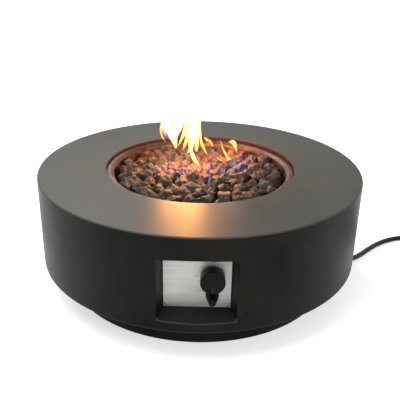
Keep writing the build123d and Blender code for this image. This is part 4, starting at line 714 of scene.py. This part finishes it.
rock_chance = random.Random(11)
rock_unevenness, rock_sharpness, most_tilt = 0.15, 0.45, 0.6
rock_lumps = ((0.5, 0.30), (0.14, 0.13))
lower_detail = 0.15
rock_shapes = []
for number in range(10):
    bpy.ops.mesh.primitive_ico_sphere_add(subdivisions=1, radius=0.5, location=(3 * number, 0, 0))
    rock = bpy.context.object
    bpy.ops.object.mode_set(mode="EDIT")
    bpy.ops.mesh.select_all(action="SELECT")
    bpy.ops.transform.vertex_random(offset=rock_unevenness, uniform=1.0, seed=number)
    bpy.ops.transform.edge_crease(value=rock_sharpness)
    bpy.ops.object.mode_set(mode="OBJECT")
    bpy.ops.object.modifier_add(type="SUBSURF")
    rock.modifiers[-1].levels = 3
    rock.modifiers[-1].render_levels = 3
    for size, strength in rock_lumps:
        lumps = bpy.data.textures.new(f"rock_lumps_{size}", "CLOUDS")
        lumps.noise_scale = size
        bpy.ops.object.modifier_add(type="DISPLACE")
        rock.modifiers[-1].texture = lumps
        rock.modifiers[-1].texture_coords = "GLOBAL"
        rock.modifiers[-1].strength = strength
        rock.modifiers[-1].mid_level = 0.5
    for modifier in [each.name for each in rock.modifiers]:
        bpy.ops.object.modifier_apply(modifier=modifier)
    bpy.ops.object.shade_smooth()
    rock.location = (0, 0, 0)
    rock_shapes.append(rock)
bpy.ops.object.select_all(action="DESELECT")


def corners_of(vertices):
    """The lowest and highest corner of the box round these vertices."""
    return [Vector([end(v.co[i] for v in vertices) for i in range(3)]) for end in (min, max)]


def rock_boxes(node):
    """The lowest and highest corner of each rock's own solid, read from a merged copy."""
    solids = bmesh.new()
    solids.from_mesh(cad[node].data)
    bmesh.ops.remove_doubles(solids, verts=solids.verts, dist=0.000001)
    waiting = set(solids.verts)
    boxes = []
    while waiting:
        island = [waiting.pop()]
        for vertex in island:
            for edge in vertex.link_edges:
                other = edge.other_vert(vertex)
                if other in waiting:
                    waiting.remove(other)
                    island.append(other)
        boxes.append(corners_of(island))
    solids.free()
    return sorted(boxes, key=lambda box: tuple(box[0]))


for node, name, growth, simpler in (
    ("lava_rocks_upper", "upper_rocks", 1.04, False),
    ("lava_rocks_lower", "lower_rocks", 1.0, True),
):
    heap = []
    for low, high in rock_boxes(node):
        mesh = rock_chance.choice(rock_shapes).data.copy()
        mesh.transform(Matrix.Rotation(rock_chance.uniform(0, 2 * math.pi), 4, "Z"))
        mesh.transform(Matrix.Rotation(rock_chance.uniform(-most_tilt, most_tilt), 4, "X"))
        least, most = corners_of(mesh.vertices)
        size = most - least
        mesh.transform(Matrix.Translation(-(least + most) / 2))
        wanted = (high - low) * growth
        mesh.transform(Matrix.Diagonal([wanted[i] / size[i] for i in range(3)] + [1]))
        sunk = Vector((0, 0, (growth - 1) * (high.z - low.z) / 2))
        mesh.transform(Matrix.Translation((low + high) / 2 - sunk))
        tone = mesh.attributes.new("rock_tone", "FLOAT", "POINT")
        shade = rock_chance.random()
        tone.data.foreach_set("value", [shade] * len(mesh.vertices))
        rock = bpy.data.objects.new(name, mesh)
        bpy.context.scene.collection.objects.link(rock)
        rock.select_set(True)
        heap.append(rock)
    bpy.context.view_layer.objects.active = heap[0]
    bpy.ops.object.join()
    heap = bpy.context.object
    heap.name = name
    if simpler:
        bpy.ops.object.modifier_add(type="DECIMATE")
        heap.modifiers[-1].ratio = lower_detail
        bpy.ops.object.modifier_apply(modifier=heap.modifiers[-1].name)
    paint(heap, lava)
    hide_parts(node)
    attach(heap, "table")
    bpy.ops.object.select_all(action="DESELECT")
for rock in rock_shapes:
    bpy.data.objects.remove(rock)


# The flames: burning gas that rises between the rocks. They are light and no part of the table, so
# each is a glowing space that only shows: white where it is thick and orange at its rim, with one
# thin pale bulge, and small blue ones low over the rocks.
def glowing_gas(name, color):
    """A space that shines with this colour, and the place of its strength."""
    material = bpy.data.materials.new(name)
    material.use_nodes = True
    tree = material.node_tree
    tree.nodes.clear()
    glow = add_node(tree, "Emission", {"Color": (*color, 1)})
    add_node(tree, "OutputMaterial", {"Volume": glow.outputs["Emission"]})
    return material, tree, glow.inputs["Strength"]


mirror_gain = 7
fire, tree, strength = glowing_gas("gas_flame", (1.0, 0.42, 0.09))
place = object_place(tree)
stretch = add_node(tree, "Mapping", {"Vector": place, "Scale": (90, 90, 16)}).outputs["Vector"]
noise = add_node(tree, "TexNoise", {"Vector": stretch, "Scale": 1.0, "Detail": 2.0, "Distortion": 0.6})
strands = spread(tree, noise.outputs["Fac"], 0.3, 0.6, 120.0, 900.0)
rising = spread(tree, axes_of(tree, place)["Z"], 0.235, 0.275, 0.25, 1.0)
faded = reckon(tree, "MULTIPLY", strands, rising)
mirrored = spread(tree, add_node(tree, "LightPath", {}).outputs["Is Glossy Ray"], 0, 1, 1, mirror_gain)
tree.links.new(reckon(tree, "MULTIPLY", faded, mirrored), strength)

blue_fire, tree, strength = glowing_gas("blue_gas_flame", (0.2, 0.24, 1.0))
noise = add_node(tree, "TexNoise", {"Vector": object_place(tree), "Scale": 110.0})
tree.links.new(spread(tree, noise.outputs["Fac"], 0.42, 0.7, 0.0, 75.0), strength)

thin_fire, tree, strength = glowing_gas("thin_gas_flame", (1.0, 0.6, 0.38))
level = axes_of(tree, object_place(tree))["Z"]
tree.links.new(spread(tree, level, 0.302, 0.335, 8.0, 130.0), strength)


def flame(name, y, route, material):
    """A tongue along a smooth line upright at y, through places with x, z and how thick it is there."""
    places = [(x, y, z, width) for x, z, width in route]
    tongue = into_mesh(round_bar(name, places, 1.0, 3, 6), material)
    tongue.visible_diffuse = False
    tongue.visible_shadow = False
    bpy.ops.object.select_all(action="DESELECT")


for name, y, route in (
    ("left_join", 0.031, [
        (-0.0537, 0.2927, 0.0009), (-0.0546, 0.3074, 0.003), (-0.0559, 0.3197, 0.0052),
        (-0.0563, 0.333, 0.0073), (-0.0538, 0.3506, 0.0077), (-0.0496, 0.3746, 0.0013),
    ]),
    ("left_bowl", 0.03, [
        (-0.0515, 0.3033, 0.0009), (-0.0472, 0.3168, 0.0035), (-0.0438, 0.328, 0.0056),
        (-0.0426, 0.3413, 0.0073), (-0.0431, 0.3577, 0.0056), (-0.0421, 0.3771, 0.0009),
    ]),
    ("left_lobe", 0.033, [
        (-0.0657, 0.302, 0.0009), (-0.0722, 0.3142, 0.0039), (-0.0758, 0.3264, 0.0061),
        (-0.0752, 0.3408, 0.0061), (-0.0688, 0.3563, 0.0034), (-0.0624, 0.3695, 0.0006),
    ]),
    ("left_stream", 0.03, [
        (-0.0536, 0.277, 0.0027), (-0.0563, 0.2909, 0.0053), (-0.0629, 0.3068, 0.0075),
        (-0.0696, 0.3227, 0.0088), (-0.0755, 0.3384, 0.0097), (-0.0743, 0.3574, 0.0079),
        (-0.0655, 0.3774, 0.0052), (-0.0548, 0.3972, 0.0007),
    ]),
    ("left_rim", 0.032, [
        (-0.077, 0.2909, 0.0011), (-0.0851, 0.3023, 0.0016), (-0.0874, 0.316, 0.002),
        (-0.0844, 0.332, 0.0031), (-0.0766, 0.3501, 0.0026), (-0.0678, 0.3658, 0.0004),
    ]),
    ("left_inner", 0.03, [
        (-0.053, 0.2816, 0.002), (-0.0536, 0.3013, 0.0029), (-0.051, 0.3174, 0.0038),
        (-0.0427, 0.3312, 0.0057), (-0.0385, 0.347, 0.0066), (-0.0364, 0.3692, 0.0044),
        (-0.0376, 0.391, 0.0007),
    ]),
    ("left_orange", 0.026, [
        (-0.049, 0.2831, 0.0009), (-0.0424, 0.2959, 0.0029), (-0.0366, 0.3121, 0.0035),
        (-0.0332, 0.328, 0.0035), (-0.0318, 0.3438, 0.0035), (-0.032, 0.3659, 0.0007),
    ]),
    ("middle_left", 0.026, [
        (-0.0399, 0.2723, 0.0011), (-0.0329, 0.2892, 0.0033), (-0.0282, 0.3077, 0.0049),
        (-0.0264, 0.3259, 0.0053), (-0.0268, 0.3461, 0.0057), (-0.0299, 0.3748, 0.0057),
        (-0.0333, 0.405, 0.0043), (-0.0314, 0.4348, 0.0006),
    ]),
    ("middle", 0.024, [
        (-0.0212, 0.2692, 0.0031), (-0.0207, 0.2878, 0.0062), (-0.0187, 0.3085, 0.0084),
        (-0.0175, 0.3312, 0.0083), (-0.0188, 0.3535, 0.0083), (-0.0224, 0.3842, 0.0074),
        (-0.027, 0.4142, 0.0056), (-0.0314, 0.4436, 0.0034), (-0.0337, 0.4602, 0.0006),
    ]),
    ("middle_right", 0.026, [
        (-0.0091, 0.2723, 0.0027), (-0.0087, 0.2909, 0.0053), (-0.0081, 0.3127, 0.0066),
        (-0.0084, 0.333, 0.0066), (-0.0103, 0.3553, 0.0065), (-0.015, 0.3838, 0.0052),
        (-0.0196, 0.416, 0.0006),
    ]),
    ("right_edge", 0.028, [
        (0.0144, 0.265, 0.0009), (0.0052, 0.28, 0.0029), (-0.0009, 0.2984, 0.0033), (-0.0036, 0.319, 0.0035),
        (-0.0042, 0.3393, 0.0039), (-0.0062, 0.3659, 0.0031), (-0.0097, 0.3878, 0.0007),
    ]),
    ("spear", 0, [
        (0.0017, 0.2421, 0.0009), (-0.0084, 0.2559, 0.0042), (-0.0157, 0.2684, 0.0044),
        (-0.0202, 0.2821, 0.003), (-0.0219, 0.2935, 0.0007),
    ]),
    ("low_middle", 0.01, [
        (-0.0296, 0.2716, 0.0007), (-0.0257, 0.2763, 0.0022), (-0.022, 0.2833, 0.0031),
        (-0.0232, 0.2924, 0.0007),
    ]),
    ("right_lick", 0.11, [
        (0.0275, 0.2553, 0.0012), (0.0226, 0.2651, 0.0043), (0.0153, 0.2716, 0.0043), (0.0058, 0.277, 0.0007),
    ]),
    ("far_right_lick", 0.12, [
        (0.0855, 0.2368, 0.0012), (0.08, 0.2531, 0.0034), (0.0766, 0.2625, 0.0057), (0.0701, 0.2648, 0.0048),
        (0.0642, 0.2632, 0.0007),
    ]),
    ("thin_right", 0.06, [
        (0.0658, 0.2399, 0.0014), (0.0581, 0.2511, 0.003), (0.0513, 0.263, 0.0023), (0.0458, 0.2773, 0.0016),
        (0.0428, 0.289, 0.0005),
    ]),
    ("low_right", 0.02, [
        (0.0536, 0.2503, 0.0009), (0.0446, 0.2539, 0.0027), (0.0356, 0.2606, 0.0007),
    ]),
):
    flame(f"flame_{name}", y, route, fire)
flame(
    "bulge_left",
    0.034,
    [
        (-0.0756, 0.2936, 0.0013), (-0.0777, 0.3048, 0.0065), (-0.0772, 0.3172, 0.0096),
        (-0.0754, 0.3295, 0.01), (-0.071, 0.345, 0.0043),
    ],
    thin_fire,
)
flame(
    "veil_left",
    0.034,
    [(-0.062, 0.289, 0.002), (-0.072, 0.302, 0.006), (-0.074, 0.318, 0.007), (-0.072, 0.335, 0.001)],
    blue_fire,
)
wisp_chance = random.Random(5)
wisp_foot, foot_width, tip_width = 0.232, 0.002, 0.0003
most_stray, most_lean = 0.009, 0.012
wisps_each = 4
wisp_sources = [
    (-0.0717, 0.0368), (-0.0425, -0.0232), (-0.0385, 0.0356), (0.032, 0.1215), (0.0435, -0.0063),
    (0.0794, 0.0048), (0.0966, 0.0028), (0.0126, -0.0658), (0.095, 0.0731), (-0.0178, 0.0054),
    (0.0634, -0.0201),
]
for number, source in enumerate(wisps_each * wisp_sources):
    x, y = (middle + wisp_chance.uniform(-most_stray, most_stray) for middle in source)
    lean, tall = wisp_chance.uniform(-most_lean, most_lean), wisp_chance.uniform(0.014, 0.032)
    width = wisp_chance.uniform(0.001, 0.004)
    wisp = [
        (x, wisp_foot, foot_width),
        (x + lean / 3, wisp_foot + tall / 2, width),
        (x + lean, wisp_foot + tall, tip_width),
    ]
    flame(f"wisp_{number}", y, wisp, blue_fire)

fire_light, blue_light = (1.0, 0.32, 0.09), (0.2, 0.3, 1.0)
for name, place, power, color, size in (
    ("fire_lamp_middle", (-0.015, 0.02, 0.28), 1.7, fire_light, 0.02),
    ("fire_lamp_high", (-0.02, -0.02, 0.37), 0.6, fire_light, 0.02),
    ("fire_lamp_left", (-0.06, 0.03, 0.275), 0.7, fire_light, 0.02),
    ("fire_lamp_right", (0.06, 0.08, 0.268), 0.9, fire_light, 0.02),
    ("blue_lamp_left", (-0.055, 0, 0.252), 0.12, blue_light, 0.01),
    ("blue_lamp_middle", (0.02, 0.015, 0.25), 0.12, blue_light, 0.01),
    ("blue_lamp_right", (0.085, 0.04, 0.252), 0.12, blue_light, 0.01),
):
    bpy.ops.object.light_add(type="POINT", location=place)
    lamp = bpy.context.object
    lamp.name = name
    lamp.data.energy = power
    lamp.data.color = color
    lamp.data.shadow_soft_size = size


# The ground: plain and pale, in a pale room, with soft light from large lamps: one above on the left,
# two behind on the left, which give the top ring its sheen, and one in front on the right.
def seen_or_mirrored(tree, rays):
    """Where the camera sees the surface itself or a mirror image of it."""
    return reckon(tree, "MAXIMUM", rays["Is Camera Ray"], rays["Is Glossy Ray"])


ground_brightness = 0.58
ground_material = bpy.data.materials.new("pale_ground")
ground_material.use_nodes = True
tree = ground_material.node_tree
tree.nodes.clear()
matte = add_node(tree, "BsdfDiffuse", {"Color": (0.75, 0.75, 0.75, 1)}).outputs["BSDF"]
seen = seen_or_mirrored(tree, add_node(tree, "LightPath", {}).outputs)
shining = reckon(tree, "MULTIPLY", seen, ground_brightness)
glow = add_node(tree, "Emission", {"Strength": shining}).outputs["Emission"]
both = add_node(tree, "AddShader", {0: matte, 1: glow}).outputs["Shader"]
add_node(tree, "OutputMaterial", {"Surface": both})
bpy.ops.mesh.primitive_plane_add(size=30)
ground = bpy.context.object
ground.name = "ground"
ground.data.materials.append(ground_material)

world = bpy.data.worlds.new("pale_room")
bpy.context.scene.world = world
world.use_nodes = True
tree = world.node_tree
room = tree.nodes["Background"]
room.inputs["Color"].default_value = (1, 1, 1, 1)
rays = add_node(tree, "LightPath", {}).outputs
through = reckon(tree, "MAXIMUM", seen_or_mirrored(tree, rays), rays["Is Transmission Ray"])
room_light, room_brightness = 0.55, 1.0
tree.links.new(spread(tree, through, 0, 1, room_light, room_brightness), room.inputs["Strength"])

lit_place = Vector((0, 0, 0.15))
for name, place, size, power in (
    ("top_lamp", (-0.7, -0.5, 2.1), 1.4, 25.0),
    ("back_left_lamp", (-1.4, 1.5, 0.95), 1.2, 4.5),
    ("high_back_lamp", (-0.55, 1.4, 1.75), 0.7, 28.0),
    ("front_lamp", (1.2, -1.8, 1.2), 1.0, 9.0),
):
    bpy.ops.object.light_add(type="AREA", location=place)
    lamp = bpy.context.object
    lamp.name = name
    lamp.data.size = size
    lamp.data.energy = power
    lamp.rotation_euler = (lit_place - Vector(place)).to_track_quat("-Z", "Y").to_euler()
bpy.context.scene.view_settings.view_transform = "Standard"
